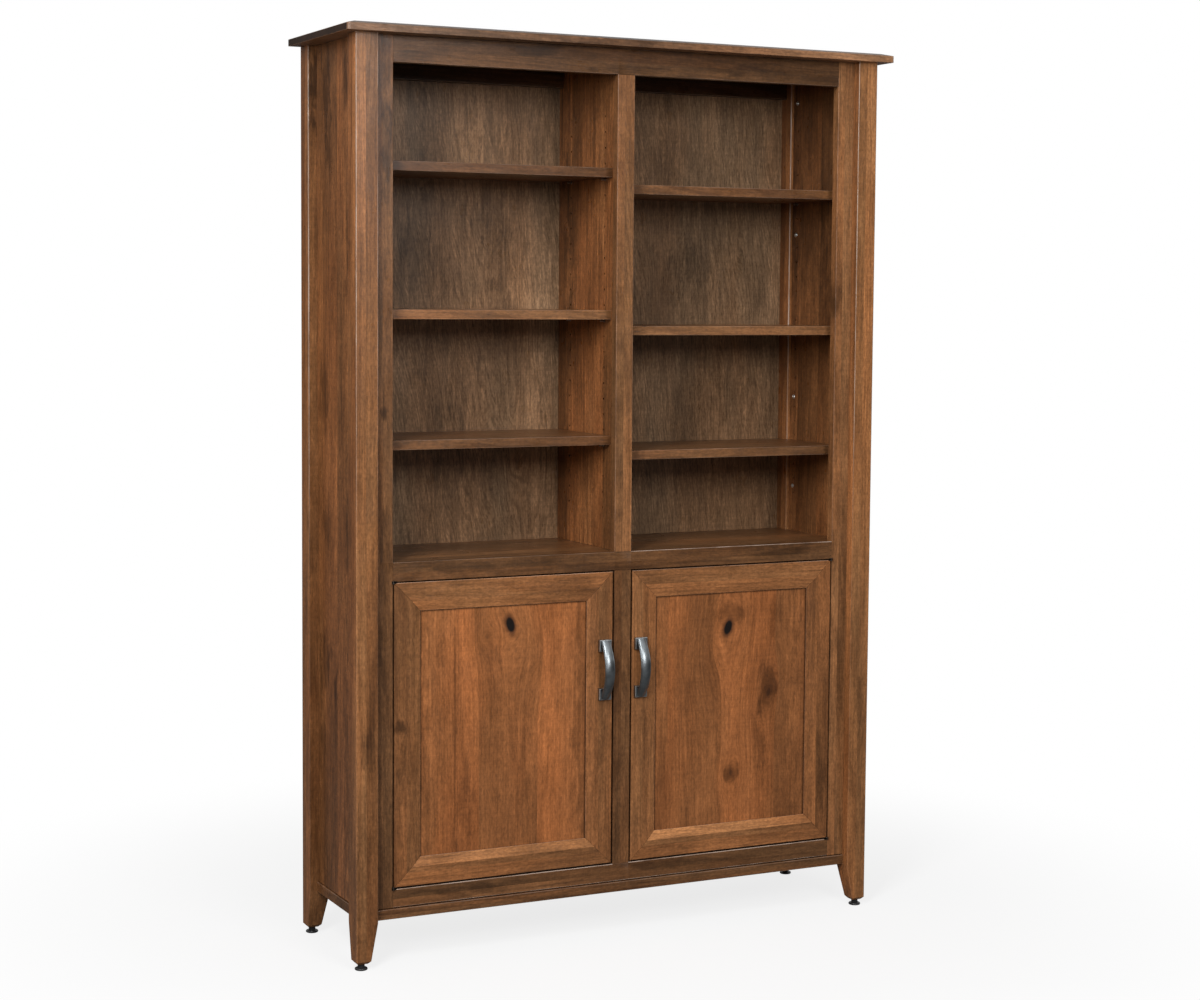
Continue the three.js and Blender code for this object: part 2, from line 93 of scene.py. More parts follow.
class Shader:
    """Adds nodes to a tree. Each method takes numbers or output sockets and returns an output socket."""

    def __init__(self, tree):
        self.tree = tree

    def node(self, kind, inputs=None, **settings):
        made = self.tree.nodes.new(kind)
        for key, value in settings.items():
            setattr(made, key, value)
        for key, value in (inputs or {}).items():
            if isinstance(value, bpy.types.NodeSocket):
                self.tree.links.new(value, made.inputs[key])
            else:
                made.inputs[key].default_value = value
        return made

    def math(self, operation, *values, clamp=False):
        made = self.node("ShaderNodeMath", dict(enumerate(values)), operation=operation, use_clamp=clamp)
        return made.outputs[0]

    def times(self, a, b, clamp=False):
        return self.math("MULTIPLY", a, b, clamp=clamp)

    def plus(self, a, b, clamp=False):
        return self.math("ADD", a, b, clamp=clamp)

    def minus(self, a, b):
        return self.math("SUBTRACT", a, b)

    def vector(self, operation, *values):
        made = self.node("ShaderNodeVectorMath", dict(enumerate(values)), operation=operation)
        return made.outputs["Value" if operation == "LENGTH" else "Vector"]

    def scaled(self, place, amount):
        return self.node("ShaderNodeVectorMath", {0: place, "Scale": amount}, operation="SCALE").outputs[0]

    def split(self, place):
        return self.node("ShaderNodeSeparateXYZ", {0: place}).outputs

    def combine(self, x, y, z):
        return self.node("ShaderNodeCombineXYZ", {0: x, 1: y, 2: z}).outputs[0]

    def noise(self, place, stretch, detail=2, roughness=0.5, distortion=0, colour=False):
        made = self.node("ShaderNodeTexNoise", {
            "Vector": self.vector("MULTIPLY", place, stretch), "Scale": 1.0, "Detail": detail,
            "Roughness": roughness, "Distortion": distortion,
        })
        return made.outputs[1 if colour else 0]

    def attribute(self, name):
        return self.node("ShaderNodeAttribute", attribute_name=name).outputs["Fac"]

    def noise_line(self, w, detail=2.0, roughness=0.5):
        values = {"W": w, "Scale": 1.0, "Detail": detail, "Roughness": roughness}
        return self.node("ShaderNodeTexNoise", values, noise_dimensions="1D").outputs[0]

    def remap(self, value, low, high, to_low=0.0, to_high=1.0, kind="SMOOTHSTEP"):
        values = {"Value": value, "From Min": low, "From Max": high, "To Min": to_low, "To Max": to_high}
        return self.node("ShaderNodeMapRange", values, interpolation_type=kind).outputs[0]

    def mix(self, factor, a, b, blend="MIX"):
        made = self.node("ShaderNodeMix", {0: factor, 6: a, 7: b}, data_type="RGBA", blend_type=blend)
        return made.outputs[2]

    def bump(self, height, distance, strength):
        values = {"Height": height, "Distance": distance, "Strength": strength}
        return self.node("ShaderNodeBump", values).outputs[0]


def rgba(colour):
    return (*colour, 1.0)


def new_material(name):
    """An empty material, and the Shader for it."""
    material = bpy.data.materials.new(name)
    material.use_nodes = True
    material.node_tree.nodes.clear()
    return material, Shader(material.node_tree)


def add_object(name, data):
    made = bpy.data.objects.new(name, data)
    bpy.context.scene.collection.objects.link(made)
    return made


def make_camera():
    data = bpy.data.cameras.new("camera")
    data.sensor_fit, data.sensor_width = "HORIZONTAL", SENSOR_WIDTH
    data.lens = FOCAL_PIXELS / IMAGE_WIDTH * SENSOR_WIDTH
    data.shift_x = (IMAGE_WIDTH / 2 - AXIS_PIXEL[0]) / IMAGE_WIDTH
    data.shift_y = (AXIS_PIXEL[1] - IMAGE_HEIGHT / 2) / IMAGE_WIDTH
    data.clip_start, data.clip_end = 0.05, 60
    turn = Matrix.Rotation(-CAMERA_AZIMUTH, 4, "Z") @ Matrix.Rotation(math.pi / 2 - CAMERA_PITCH, 4, "X")
    camera = add_object("camera", data)
    camera.matrix_world = Matrix.Translation(CAMERA_PLACE) @ turn @ Matrix.Rotation(CAMERA_ROLL, 4, "Z")
    bpy.context.scene.camera = camera


# Marks on the wood, as linear colours. STREAK is for pores too. The pale edge colour is for edges that have
# lost their stain and for painted highlight on edges, and the glaze colour for glaze on end grain, painted
# shade in gaps and holes and a painted dark reflection on the top bevel
STREAK, SPECK, GLAZE_AND_SHADE = (0.020, 0.010, 0.006), (0.016, 0.008, 0.005), (0.012, 0.006, 0.004)
RUBBED_AND_HIGHLIGHT, KNOT_CORE, KNOT_HALO = (0.46, 0.34, 0.27), (0.010, 0.007, 0.006), (0.060, 0.022, 0.010)


def make_grain_group():
    """Sawn, stained and lacquered wood in metres: x along the grain, y across the face, z into the board."""
    group = bpy.data.node_groups.new("sawn_wood", "ShaderNodeTree")
    sockets = (
        ("INPUT", "Vector", ("Place", "Seed", "Heart", "Lean")),
        ("INPUT", "Color", ("Light", "Dark", "Stain")),
        ("INPUT", "Float", ("Ring width", "Rings", "Wander", "Stave", "Stave start")),
        ("INPUT", "Float", ("Blotches", "Streaks", "Edge wear and highlight", "Fine", "Crisp")),
        ("OUTPUT", "Color", ("Color",)), ("OUTPUT", "Float", ("Roughness",)), ("OUTPUT", "Vector", ("Normal",)),
    )
    for way, kind, names in sockets:
        for name in names:
            group.interface.new_socket(name, in_out=way, socket_type=f"NodeSocket{kind}")
    s = Shader(group)
    given = s.node("NodeGroupInput").outputs
    x, y = s.split(given["Place"])[:2]
    stave_edge = s.times(s.noise_line(s.times(x, 0.7)), 0.004)
    from_start = s.minus(s.plus(y, stave_edge), given["Stave start"])
    stave = s.math("FLOOR", s.math("DIVIDE", from_start, given["Stave"]))
    stave_seed = s.vector("ADD", s.combine(stave, 0.37, 1.7), given["Seed"])
    chance = s.node("ShaderNodeTexWhiteNoise", {"Vector": stave_seed}, noise_dimensions="3D").outputs[1]
    shift = s.vector("MULTIPLY", s.vector("SUBTRACT", chance, (0.5, 0.5, 0.5)), (4.0, 0.10, 0.05))
    place = s.vector("ADD", given["Place"], shift)
    seeded = s.vector("ADD", place, given["Seed"])

    # Growth rings round a heart that leans away from the board, which draws arches on a flat face
    wave, ripple = (
        s.vector("SUBTRACT", s.noise(seeded, stretch, colour=True), (0.5, 0.5, 0.5))
        for stretch in ((1.6, 9, 9), (9, 45, 45))
    )
    wide_bend = s.scaled(wave, s.times(given["Wander"], 5.0))
    bend = s.vector("ADD", wide_bend, s.scaled(ripple, given["Wander"]))
    slope = s.scaled(given["Lean"], s.split(place)[0])
    from_heart = s.vector("ADD", s.vector("SUBTRACT", s.vector("ADD", place, bend), given["Heart"]), slope)
    radius = s.vector("LENGTH", s.vector("MULTIPLY", from_heart, (0, 1, 1)))
    ring_count = s.math("DIVIDE", radius, given["Ring width"])
    edge = s.times(given["Crisp"], 0.13)
    ring_noise = s.noise_line(ring_count, detail=3.0, roughness=0.62)
    rings = s.remap(ring_noise, s.plus(edge, 0.34), s.minus(0.70, edge))

    # Fibres, pores and mottle, of which the fibres follow the bends of the rings
    grown = s.vector("ADD", seeded, bend)
    fibre = s.noise(grown, (7, 235, 235), 2, 0.6)
    fleck = s.noise(grown, (130, 330, 330), 1, 0.5, 0.3)
    mottle = s.noise(seeded, (22, 48, 48), 4, 0.6, 0.5)
    curl = s.noise(seeded, (70, 120, 120), 3, 0.6, 0.6)
    chatter = s.noise(seeded, (420, 7, 7))
    pore = s.remap(s.noise(grown, (60, 1100, 1100), 1), 0.58, 0.72)

    # Stain taken up in soft patches, dark streaks and specks
    wide = s.noise(seeded, (3.2, 15, 15), 5, 0.62, 0.7)
    small = s.noise(seeded, (11, 34, 34), 4, 0.6, 0.5)
    blotch = s.plus(s.remap(wide, 0.50, 0.68), s.times(s.remap(small, 0.58, 0.72), 0.35))
    blotch = s.times(blotch, given["Blotches"], clamp=True)
    cloud = s.noise(seeded, (1.4, 7, 7), 3, 0.55, colour=True)
    warm = s.remap(s.split(cloud)[0], 0.36, 0.64)
    depth = s.remap(s.split(cloud)[1], 0.34, 0.66, 0.74, 1.20)
    streak = s.remap(s.noise(seeded, (2.2, 110, 110), 3, 0.6), 0.57, 0.72)
    streak_run = s.remap(s.noise(seeded, (4.0, 14, 14), 1), 0.42, 0.60)
    streak = s.times(s.times(streak, streak_run), given["Streaks"], clamp=True)
    squares = s.vector("MULTIPLY", seeded, (30, 120, 120))
    cells = s.node("ShaderNodeTexVoronoi", {"Vector": squares, "Scale": 1.0})
    is_speck = s.math("LESS_THAN", s.split(cells.outputs["Color"])[0], 0.03)
    speck = s.times(s.remap(cells.outputs["Distance"], 0.06, 0.24, 1.0, 0.0), is_speck)
    speck = s.times(speck, given["Streaks"], clamp=True)

    colour = s.mix(s.times(rings, given["Rings"]), given["Light"], given["Dark"])
    tinted = s.mix(warm, (0.97, 1.0, 1.03, 1), (1.05, 0.98, 0.93, 1))
    colour = s.mix(1.0, colour, tinted, "MULTIPLY")
    tone = s.remap(s.split(chance)[1], 0.0, 1.0, 0.80, 1.16, "LINEAR")
    colour = s.scaled(colour, s.times(tone, depth))
    shade = s.remap(fibre, 0.30, 0.70, 1.30, 0.70, "LINEAR")
    shade = s.times(shade, s.remap(fleck, 0.30, 0.70, 1.24, 0.76, "LINEAR"))
    shade = s.math("POWER", shade, given["Fine"])
    for pattern, contrast in ((mottle, 0.14), (curl, 0.10), (chatter, 0.06)):
        shade = s.times(shade, s.remap(pattern, 0.30, 0.70, 1 - contrast, 1 + contrast, "LINEAR"))
    colour = s.scaled(colour, shade)
    stained = s.mix(0.35, given["Stain"], colour)
    colour = s.mix(blotch, colour, stained)
    for marks, strength, dark in ((streak, 0.8, STREAK), (speck, 0.8, SPECK), (pore, 0.30, STREAK)):
        colour = s.mix(s.times(marks, strength), colour, rgba(dark))
    # Edges painted pale, as rubbed stain and painted highlight, and faces painted dark, as glaze on end grain,
    # painted shade in gaps and holes and a painted dark reflection on the top bevel
    arris = s.attribute("arris")
    rubbed_and_highlight = s.remap(s.noise(seeded, (14, 60, 60)), 0.38, 0.62, 0.16, 0.42)
    rubbed_and_highlight = s.times(rubbed_and_highlight, given["Edge wear and highlight"])
    worn_and_highlight = s.times(s.math("MAXIMUM", arris, 0.0), rubbed_and_highlight, clamp=True)
    colour = s.mix(worn_and_highlight, colour, rgba(RUBBED_AND_HIGHLIGHT))
    glaze_and_painted_shade = s.math("MAXIMUM", s.times(arris, -1.0), 0.0)
    colour = s.mix(glaze_and_painted_shade, colour, rgba(GLAZE_AND_SHADE))
    # Painted light and shade on the bevels of the door frames
    painted_bevel_light = s.attribute("tone")
    colour = s.scaled(colour, s.plus(painted_bevel_light, 1.0))

    sheen = s.noise(seeded, (18, 26, 26))
    roughness = s.remap(sheen, 0.3, 0.7, 0.27, 0.36, "LINEAR")
    roughness = s.plus(roughness, s.times(pore, 0.10))
    roughness = s.plus(roughness, s.times(streak, 0.06), clamp=True)
    height = s.minus(s.times(fibre, 0.5), s.times(pore, 0.8))
    height = s.minus(height, s.times(rings, 0.15))
    normal = s.bump(height, 0.00012, 0.6)
    s.node("NodeGroupOutput", {"Color": colour, "Roughness": roughness, "Normal": normal})
    return group


GRAIN = make_grain_group()

# The order in which object x, y, z become along, across and into the board
GRAIN_AXES = {"rail": (0, 2, 1), "stile": (2, 0, 1), "flat": (0, 1, 2), "side": (2, 1, 0)}

# Lights, darks and stains of the woods, as linear colours
WOODS = {
    "case": ((0.310, 0.134, 0.049), (0.150, 0.059, 0.021), (0.062, 0.028, 0.012)),
    # The top board's paler, greyer tone is dust and wear, and painted sheen on its front
    "top": ((0.300, 0.150, 0.073), (0.150, 0.072, 0.034), (0.062, 0.034, 0.018)),
    "frame": ((0.205, 0.091, 0.035), (0.100, 0.043, 0.0165), (0.041, 0.019, 0.0085)),
    "door": ((0.300, 0.125, 0.045), (0.185, 0.075, 0.027), (0.070, 0.031, 0.012)),
    "door_panel": ((0.370, 0.134, 0.043), (0.240, 0.085, 0.027), (0.088, 0.035, 0.0130)),
    "shelf": ((0.265, 0.117, 0.045), (0.130, 0.054, 0.021), (0.053, 0.026, 0.011)),
    "panel": ((0.400, 0.158, 0.054), (0.185, 0.069, 0.024), (0.072, 0.030, 0.0125)),
    "ply": ((0.250, 0.148, 0.079), (0.122, 0.070, 0.0365), (0.059, 0.036, 0.021)),
}


# Darker patches of each board, or lighter where the strength is negative. Each is its middle along and across
# the grain as object coordinates, half its length and half its width in mm, its tilt in degrees, and its
# strength in per cent
PATCHES = {
    "left_side_panel": (
        (1705, 75, 105, 32, 2, 62), (1728, -40, 60, 16, 0, 60), (1590, 58, 60, 26, -4, 42),
        (1435, -48, 66, 9, 2, 55), (1332, -40, 36, 9, 0, 50), (1438, 112, 220, 14, 0, -22),
        (1111, 85, 80, 28, 3, 50), (835, -45, 110, 12, -2, 50), (847, 69, 45, 36, 0, 38),
        (572, 88, 70, 38, 0, 42), (533, 21, 42, 13, 4, 50), (415, 98, 40, 18, 0, 38),
        # The second patch on the next line is painted shade, darker towards the bottom
        (400, -40, 320, 18, 0, 30), (330, 20, 300, 160, 0, 26), (1480, 35, 200, 16, 0, -20),
        (1000, 10, 250, 20, 0, -15),
    ),
    "top_board": ((-330, -170, 300, 40, 0, 30), (-20, -170, 120, 40, 0, 45), (450, -170, 300, 40, 0, -25)),
    "right_side_panel": (
        (1600, 30, 300, 220, 0, 30), (1400, 120, 350, 18, 0, 40), (1400, 50, 160, 150, 0, 20),
        (880, 30, 120, 200, 0, -18),
    ),
    "fixed_deck": ((-300, 50, 250, 110, 0, 38), (300, -50, 220, 70, 0, -20)),
    "rear_left_post": ((1735, -575, 120, 22, 0, 70), (300, -575, 300, 30, 0, 20)),
    # Painted shade, darker towards the bottom
    "front_left_post_side": ((300, -125, 550, 80, 0, 26),),
    "front_left_post": ((430, -558, 50, 16, 8, 38), (140, -577, 90, 16, 0, 30), (250, -560, 60, 20, 3, 25)),
    "left_stile": (
        (1600, -515, 400, 80, 0, 14), (1740, -516, 130, 14, 0, 52), (1580, -514, 100, 11, -1, 50),
        (1087, -518, 14, 8, 0, 60), (1150, -505, 500, 7, 0, -12), (800, -518, 110, 14, 2, 35),
        (600, -522, 90, 12, -1, 35), (1300, -512, 120, 8, 0, 30),
    ),
    "right_stile": ((1400, 510, 560, 80, 0, -12), (1310, 506, 60, 9, 0, 45), (520, 525, 120, 12, 0, 30)),
    "front_right_post": ((450, 564, 80, 12, 0, 35),),
    "top_rail": (
        (300, 1785, 320, 50, 0, 20), (-400, 1770, 120, 20, 0, -18), (-214, 1794, 70, 13, 0, 45),
        (276, 1780, 90, 15, 3, 40), (-446, 1776, 60, 12, 8, 30), (20, 1770, 110, 10, -2, 30),
    ),
    "middle_rail": ((300, 777, 300, 40, 0, 18), (-339, 780, 130, 12, 0, 35), (372, 782, 120, 15, 0, 35)),
    "bottom_rail": ((-315, 134, 120, 13, 0, 40), (80, 136, 90, 12, 0, 35)),
    "left_door_panel": (
        (450, -90, 330, 20, 0, 34), (450, -434, 330, 14, 0, 26), (313, -345, 100, 20, 3, 28),
        (423, -215, 140, 12, 0, 22), (305, -107, 60, 14, 0, 25), (500, -367.5, 240, 3, 0, 40),
        (603, -393, 34, 16, 4, 22), (480, -160, 150, 40, 0, -14),
    ),
    "right_door_panel": (
        (450, 432, 380, 26, 0, -42), (493, 348.5, 52, 18, -6, 52), (313.6, 263, 22, 15, 0, 50),
        (644, 366, 55, 18, 4, 32), (652, 256, 26, 24, 0, 40), (368, 333, 70, 13, -4, 38),
        (477, 163, 60, 18, 0, 20), (400, 200, 180, 22, 0, -15), (450, 405, 160, 14, 0, -12),
    ),
    "left_door_hinge_stile": ((470, -486, 13, 14, 0, 55), (400, -480, 60, 8, 6, 30)),
    "left_door_latch_stile": ((398, -49, 50, 13, 6, 30),),
    "right_door_hinge_stile": ((296, 480, 80, 12, -3, 30),),
    "upper_divider": (
        (1300, 152, 700, 52, 0, 42), (1700, 0, 130, 200, 0, -12), (1250, 20, 70, 8, 3, 35),
        (1500, 95, 240, 48, 0, 36), (1480, -30, 160, 34, 0, -16), (1650, 0, 120, 9, 0, 35),
        (1690, -60, 60, 14, 0, 35), (1450, 50, 120, 12, 0, -20), (1100, -50, 90, 12, 0, 30),
        (880, 60, 60, 18, 0, -30),
    ),
    "back_panel": (
        (1372, -321, 75, 85, 0, 22), (1374, 309, 65, 75, 0, 28), (1450, -400, 60, 90, 35, 18),
        (1470, -180, 50, 70, 50, 28), (1330, -55, 600, 40, 0, -28), (1300, 300, 700, 330, 0, 10),
        # The last patch on the next line, lighter, high in the left bay, is a painted sheen
        (1000, -250, 110, 120, 0, 28), (1560, 180, 50, 120, 20, -15), (1640, -280, 110, 240, 0, -24),
        (1080, 420, 90, 60, 10, 25),
    ),
}


# How bright the colours of each board are, and of the rest of them. On the cleat under the top the low value is
# painted shade
BRIGHTNESS = {
    "front_left_post": 0.78, "front_left_post_side": 1.0, "front_right_post": 1.2,
    "rear_left_post": 0.78, "rear_left_post_side": 1.0, "rear_right_post": 1.2,
    "left_side_panel": 0.86, "right_side_panel": 0.62, "upper_divider": 0.80, "lower_divider": 0.80,
    "back_panel": 1.0, "rear_top_cleat": 0.28,
    "left_shelf_3": 0.60, "left_shelf_2": 1.10, "left_shelf_1": 0.66,
    "right_shelf_3": 0.75, "right_shelf_2": 1.10, "right_shelf_1": 0.78,
    "left_stile": 0.95, "right_stile": 1.3, "upper_mid_stile": 1.25,
    "top_rail": 0.84, "middle_rail": 0.82, "bottom_rail": 0.82,
    "front_base_strip": 0.95, "left_base_strip": 0.80, "right_base_strip": 0.80,
    "left_door_hinge_stile": 0.83, "left_door_top_rail": 0.95, "left_door_bottom_rail": 1.08,
    "right_door_latch_stile": 0.86, "right_door_hinge_stile": 0.96, "right_door_top_rail": 1.0,
    "right_door_bottom_rail": 0.96, "left_door_panel": 1.0, "right_door_panel": 0.88,
}
OTHER_BRIGHTNESS = 0.9


def wood(name, grain, tone, centre=None, *, heart=(0.03, 0.09), lean=(0.03, 0.02), ring=0.006, rings=0.6,
         wander=0.006, stave=9.0, stave_start=0.0, blotches=0.5, streaks=0.5, fine=0.8, crisp=0.0, gloss=0.3,
         knots=(), glaze_and_shade_border=None, pale_edges_above=None):
    """A material for one board. heart is the place of the growth rings' heart, across and into the board.

    The glaze and shade border is half the length and width inside which glaze and painted shade from the
    frame's lip gather along the sides and top, and the heights for pale edges are those along the board between
    which the paleness of its edges, rubbed stain and painted highlight, grows to its full amount.
    """
    centre = centre or node_centre(name)
    random.seed(name)
    seed = [random.uniform(-20, 20) for _ in range(3)]
    material, s = new_material(name)
    from_centre = s.vector("SUBTRACT", s.node("ShaderNodeTexCoord").outputs["Object"], tuple(centre))
    parts = s.split(from_centre)
    axes = GRAIN_AXES[grain]
    along, across, into = (parts[i] for i in axes)
    knot_masks = []
    for knot in knots:
        across, core, halo = add_knot(s, along, across, **knot)
        knot_masks.append((core, halo))
    values = {"Place": s.combine(along, across, into), "Seed": seed, "Heart": (0, *heart), "Lean": (0, *lean)}
    values.update({"Ring width": ring, "Rings": rings, "Wander": wander, "Stave": stave})
    values.update({"Stave start": stave_start, "Blotches": blotches, "Streaks": streaks, "Fine": fine})
    values.update({"Crisp": crisp, "Edge wear and highlight": 1.0})
    brightness = BRIGHTNESS.get(name, OTHER_BRIGHTNESS)
    for key, colour in zip(("Light", "Dark", "Stain"), WOODS[tone]):
        values[key] = rgba(c * brightness for c in colour)
    if pale_edges_above:
        low, high = pale_edges_above
        values["Edge wear and highlight"] = s.remap(along, low - centre[2], high - centre[2], 0.08, 1.0)
    colour, roughness, normal = s.node("ShaderNodeGroup", values, node_tree=GRAIN).outputs
    wobble = s.noise(s.combine(along, across, into), (22, 70, 70), 4, 0.6)
    for patch in PATCHES.get(name, ()):
        place_along, place_across, half_length, half_width = (length / 1000 for length in patch[:4])
        tilt, strength = math.radians(patch[4]), patch[5] / 100
        at = (place_along - centre[axes[0]], place_across - centre[axes[1]])
        mask = add_patch(s, along, across, wobble, at, (half_length, half_width), tilt)
        colour = s.scaled(colour, s.remap(mask, 0.0, 1.0, 1.0, 1.0 - strength, "LINEAR"))
    if glaze_and_shade_border:
        gaps = (s.minus(glaze_and_shade_border[0], along), s.minus(glaze_and_shade_border[1], s.math("ABSOLUTE", across)))
        near = s.plus(s.math("MINIMUM", *gaps), s.times(wobble, 0.003))
        colour = s.scaled(colour, s.remap(near, 0.0018, 0.0070, 0.30, 1.0))
    for core, halo in knot_masks:
        colour = s.mix(halo, colour, rgba(KNOT_HALO))
        colour = s.mix(core, colour, rgba(KNOT_CORE))
    surface = s.node("ShaderNodeBsdfPrincipled", {
        "Base Color": colour, "Roughness": roughness, "Normal": normal, "Specular IOR Level": gloss,
    })
    s.node("ShaderNodeOutputMaterial", {"Surface": surface.outputs[0]})
    return material


def tilted(s, along, across, tilt, size=(1, 1)):
    """Places along and across, turned by a tilt, in shares of a size."""
    c, d = math.cos(tilt), math.sin(tilt)
    u = s.plus(s.times(along, c / size[0]), s.times(across, d / size[0]))
    return u, s.minus(s.times(across, c / size[1]), s.times(along, d / size[1]))


def add_patch(s, along, across, wobble, at, size, tilt):
    """A soft-edged patch of a half length and half width, as a mask."""
    u, v = tilted(s, s.minus(along, at[0]), s.minus(across, at[1]), tilt, size)
    ragged = s.remap(wobble, 0.25, 0.75, -0.8, 0.8, "LINEAR")
    reach = s.plus(s.vector("LENGTH", s.combine(u, v, 0)), ragged)
    return s.remap(reach, 0.25, 1.25, 1.0, 0.0)


def add_knot(s, along, across, at, size, tilt, swell=0.9, halo=2.0, depth=1.0):
    """Bends the grain round a knot at a place along and across the board, and gives masks of it."""
    du, dv = s.minus(along, at[0]), s.minus(across, at[1])
    u, v = tilted(s, du, dv, tilt)
    reach = s.vector("LENGTH", s.combine(s.math("DIVIDE", u, size[0]), s.math("DIVIDE", v, size[1]), 0))
    far = s.vector("LENGTH", s.combine(s.math("DIVIDE", u, size[0] * 7), s.math("DIVIDE", v, size[1] * 6), 0))
    fading = s.math("EXPONENT", s.times(s.times(far, far), -1.0))
    squeeze = s.times(fading, swell)
    bent = s.minus(across, s.times(dv, squeeze))
    core = s.times(s.remap(reach, 0.8, 1.15, 1.0, 0.0), depth)
    ring = s.remap(reach, 0.9, halo, 0.75 * depth, 0.0)
    return bent, core, ring


def plain(name, colour, roughness, wear_and_painted_light, metallic=0.0):
    """Metal or plastic: fine unevenness of colour and gloss, and edges painted lighter, as rubbed metal and as
    painted highlight.
    """
    material, s = new_material(name)
    place = s.node("ShaderNodeTexCoord").outputs["Object"]
    cloud = s.noise(place, (60, 60, 60), 4, 0.6)
    grit = s.noise(place, (900, 900, 900))
    base = s.mix(s.remap(cloud, 0.3, 0.7), rgba(c * 0.78 for c in colour), rgba(c * 1.15 for c in colour))
    arris = s.attribute("arris")
    rubbed_and_highlight = (0.75, 0.75, 0.74, 1) if metallic else (0.3, 0.3, 0.3, 1)
    base = s.mix(s.times(arris, wear_and_painted_light), base, rubbed_and_highlight)
    rough = s.remap(s.plus(s.times(cloud, 0.6), s.times(grit, 0.4)), 0.3, 0.7,
                    roughness * 0.8, roughness * 1.25, "LINEAR")
    surface = s.node("ShaderNodeBsdfPrincipled", {
        "Base Color": base, "Roughness": rough, "Metallic": metallic, "Normal": s.bump(grit, 0.00004, 0.5),
    })
    s.node("ShaderNodeOutputMaterial", {"Surface": surface.outputs[0]})
    return material


# How far the edges of the boards are rounded, in metres
ARRIS = {
    "top_corner": 0.005, "top": 0.0013, "front": 0.0013, "rear": 0.0020, "cleat": 0.0012, "shelf_front": 0.0011,
    "shelf_end": 0.0005, "stile": 0.0010, "strip": 0.0015, "door_inside": 0.0005, "door_panel": 0.0012,
}

# The arris attribute: the value below on faces with painted shade in gaps and holes, and on eased edges from
# -1, darkest with painted shade, to 3, palest with rubbed stain and painted highlight
PAINTED_SHADE = -0.6875


def new_piece(name, bm, body, slot, materials, smooth_angle=35, crisp=False):
    """Makes an object of a bmesh. Edges below an angle are soft, on a crisp piece only the eased ones."""
    mesh = bpy.data.meshes.new(name)
    bmesh.ops.recalc_face_normals(bm, faces=bm.faces)
    for face in bm.faces:
        face.smooth = True
    layer = bm.loops.layers.float.get("arris")
    for edge in bm.edges:
        eased = layer and any(face.loops[0][layer] not in (0, PAINTED_SHADE) for face in edge.link_faces)
        limit = math.radians(smooth_angle if eased or not crisp else 1)
        edge.smooth = len(edge.link_faces) == 2 and edge.calc_face_angle() < limit
    bm.to_mesh(mesh)
    bm.free()
    for material in materials:
        mesh.materials.append(material)
    made = add_object(name, mesh)
    weighted = made.modifiers.new("weighted", "WEIGHTED_NORMAL")
    weighted.keep_sharp = True
    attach(made, body)
    return made


def layer_of(bm, name):
    layers = bm.loops.layers.float
    return layers.get(name) or layers.new(name)


def mark(faces, layer, amount):
    for face in faces:
        for loop in face.loops:
            loop[layer] = amount


def ease(bm, pick, radius, segments=3, wear_and_painted_light=0.5):
    """Rounds the edges that pick accepts, and notes on the new faces how pale or dark they are painted: rubbed
    stain and painted highlight where positive, painted shade where negative.
    """
    layer = layer_of(bm, "arris")
    bends = (e for e in bm.edges if len(e.link_faces) == 2 and e.calc_face_angle() > math.radians(3))
    edges = [e for e in bends if pick(e)]
    if edges:
        made = bmesh.ops.bevel(bm, geom=edges, offset=radius, offset_type="OFFSET", segments=segments,
                               profile=0.5, affect="EDGES", clamp_overlap=True)
        mark(made["faces"], layer, wear_and_painted_light)


def mark_glaze_and_shade(bm, pick, amount=PAINTED_SHADE):
    """Notes how dark the faces that pick accepts are painted, unless they are eased edges: glaze on end grain,
    painted shade in gaps and holes, a painted dark reflection on the top bevel.
    """
    layer = layer_of(bm, "arris")
    bm.normal_update()
    mark([f for f in bm.faces if f.loops[0][layer] == 0 and pick(f)], layer, amount)


def paint_light(bm, pick, amount):
    """Notes on the faces that pick accepts how much lighter painted light makes them, or darker with painted
    shade where the amount is negative.
    """
    layer = layer_of(bm, "tone")
    bm.normal_update()
    mark([f for f in bm.faces if pick(f)], layer, amount)


def solid_of(node):
    """The welded solid of a CAD node, its flat faces in one piece."""
    bm = bmesh.new()
    bm.from_mesh(NODES[node].data)
    bmesh.ops.remove_doubles(bm, verts=bm.verts, dist=2e-6)
    bmesh.ops.dissolve_limit(bm, angle_limit=math.radians(0.5), verts=bm.verts, edges=bm.edges)
    return bm


def middle(edge):
    return (edge.verts[0].co + edge.verts[1].co) / 2


def runs(edge, axis):
    """True if the edge runs along an axis: 0, 1 or 2."""
    d = edge.verts[1].co - edge.verts[0].co
    return abs(d[axis]) > 0.97 * d.length


def body_of(node):
    return NODES[node]["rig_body"]


def stand_in(node, bm, slot, materials, suffix="board", **shading):
    """A piece that stands for a CAD node and rides on its body."""
    made = new_piece(f"{node}_{suffix}", bm, body_of(node), slot, materials, **shading)
    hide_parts(node)


def board(node, slot, material, easings, suffix="board", glaze_and_painted_shade=None, tinted=()):
    """Stands in for a CAD node in its own form. easings are (pick, radius), or (pick, radius, how pale or dark
    the eased faces are painted).
    """
    bm = solid_of(node)
    for pick, radius, *wear_and_painted_light in easings:
        ease(bm, pick, radius, 3, *wear_and_painted_light)
    if glaze_and_painted_shade:
        mark_glaze_and_shade(bm, glaze_and_painted_shade)
    # Faces that tinted picks get painted light, or painted shade where the amount is negative
    for pick, amount in tinted:
        paint_light(bm, pick, amount)
    stand_in(node, bm, slot, [material], suffix, crisp=True)


def node_centre(node):
    low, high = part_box(node)
    return (low + high) / 2


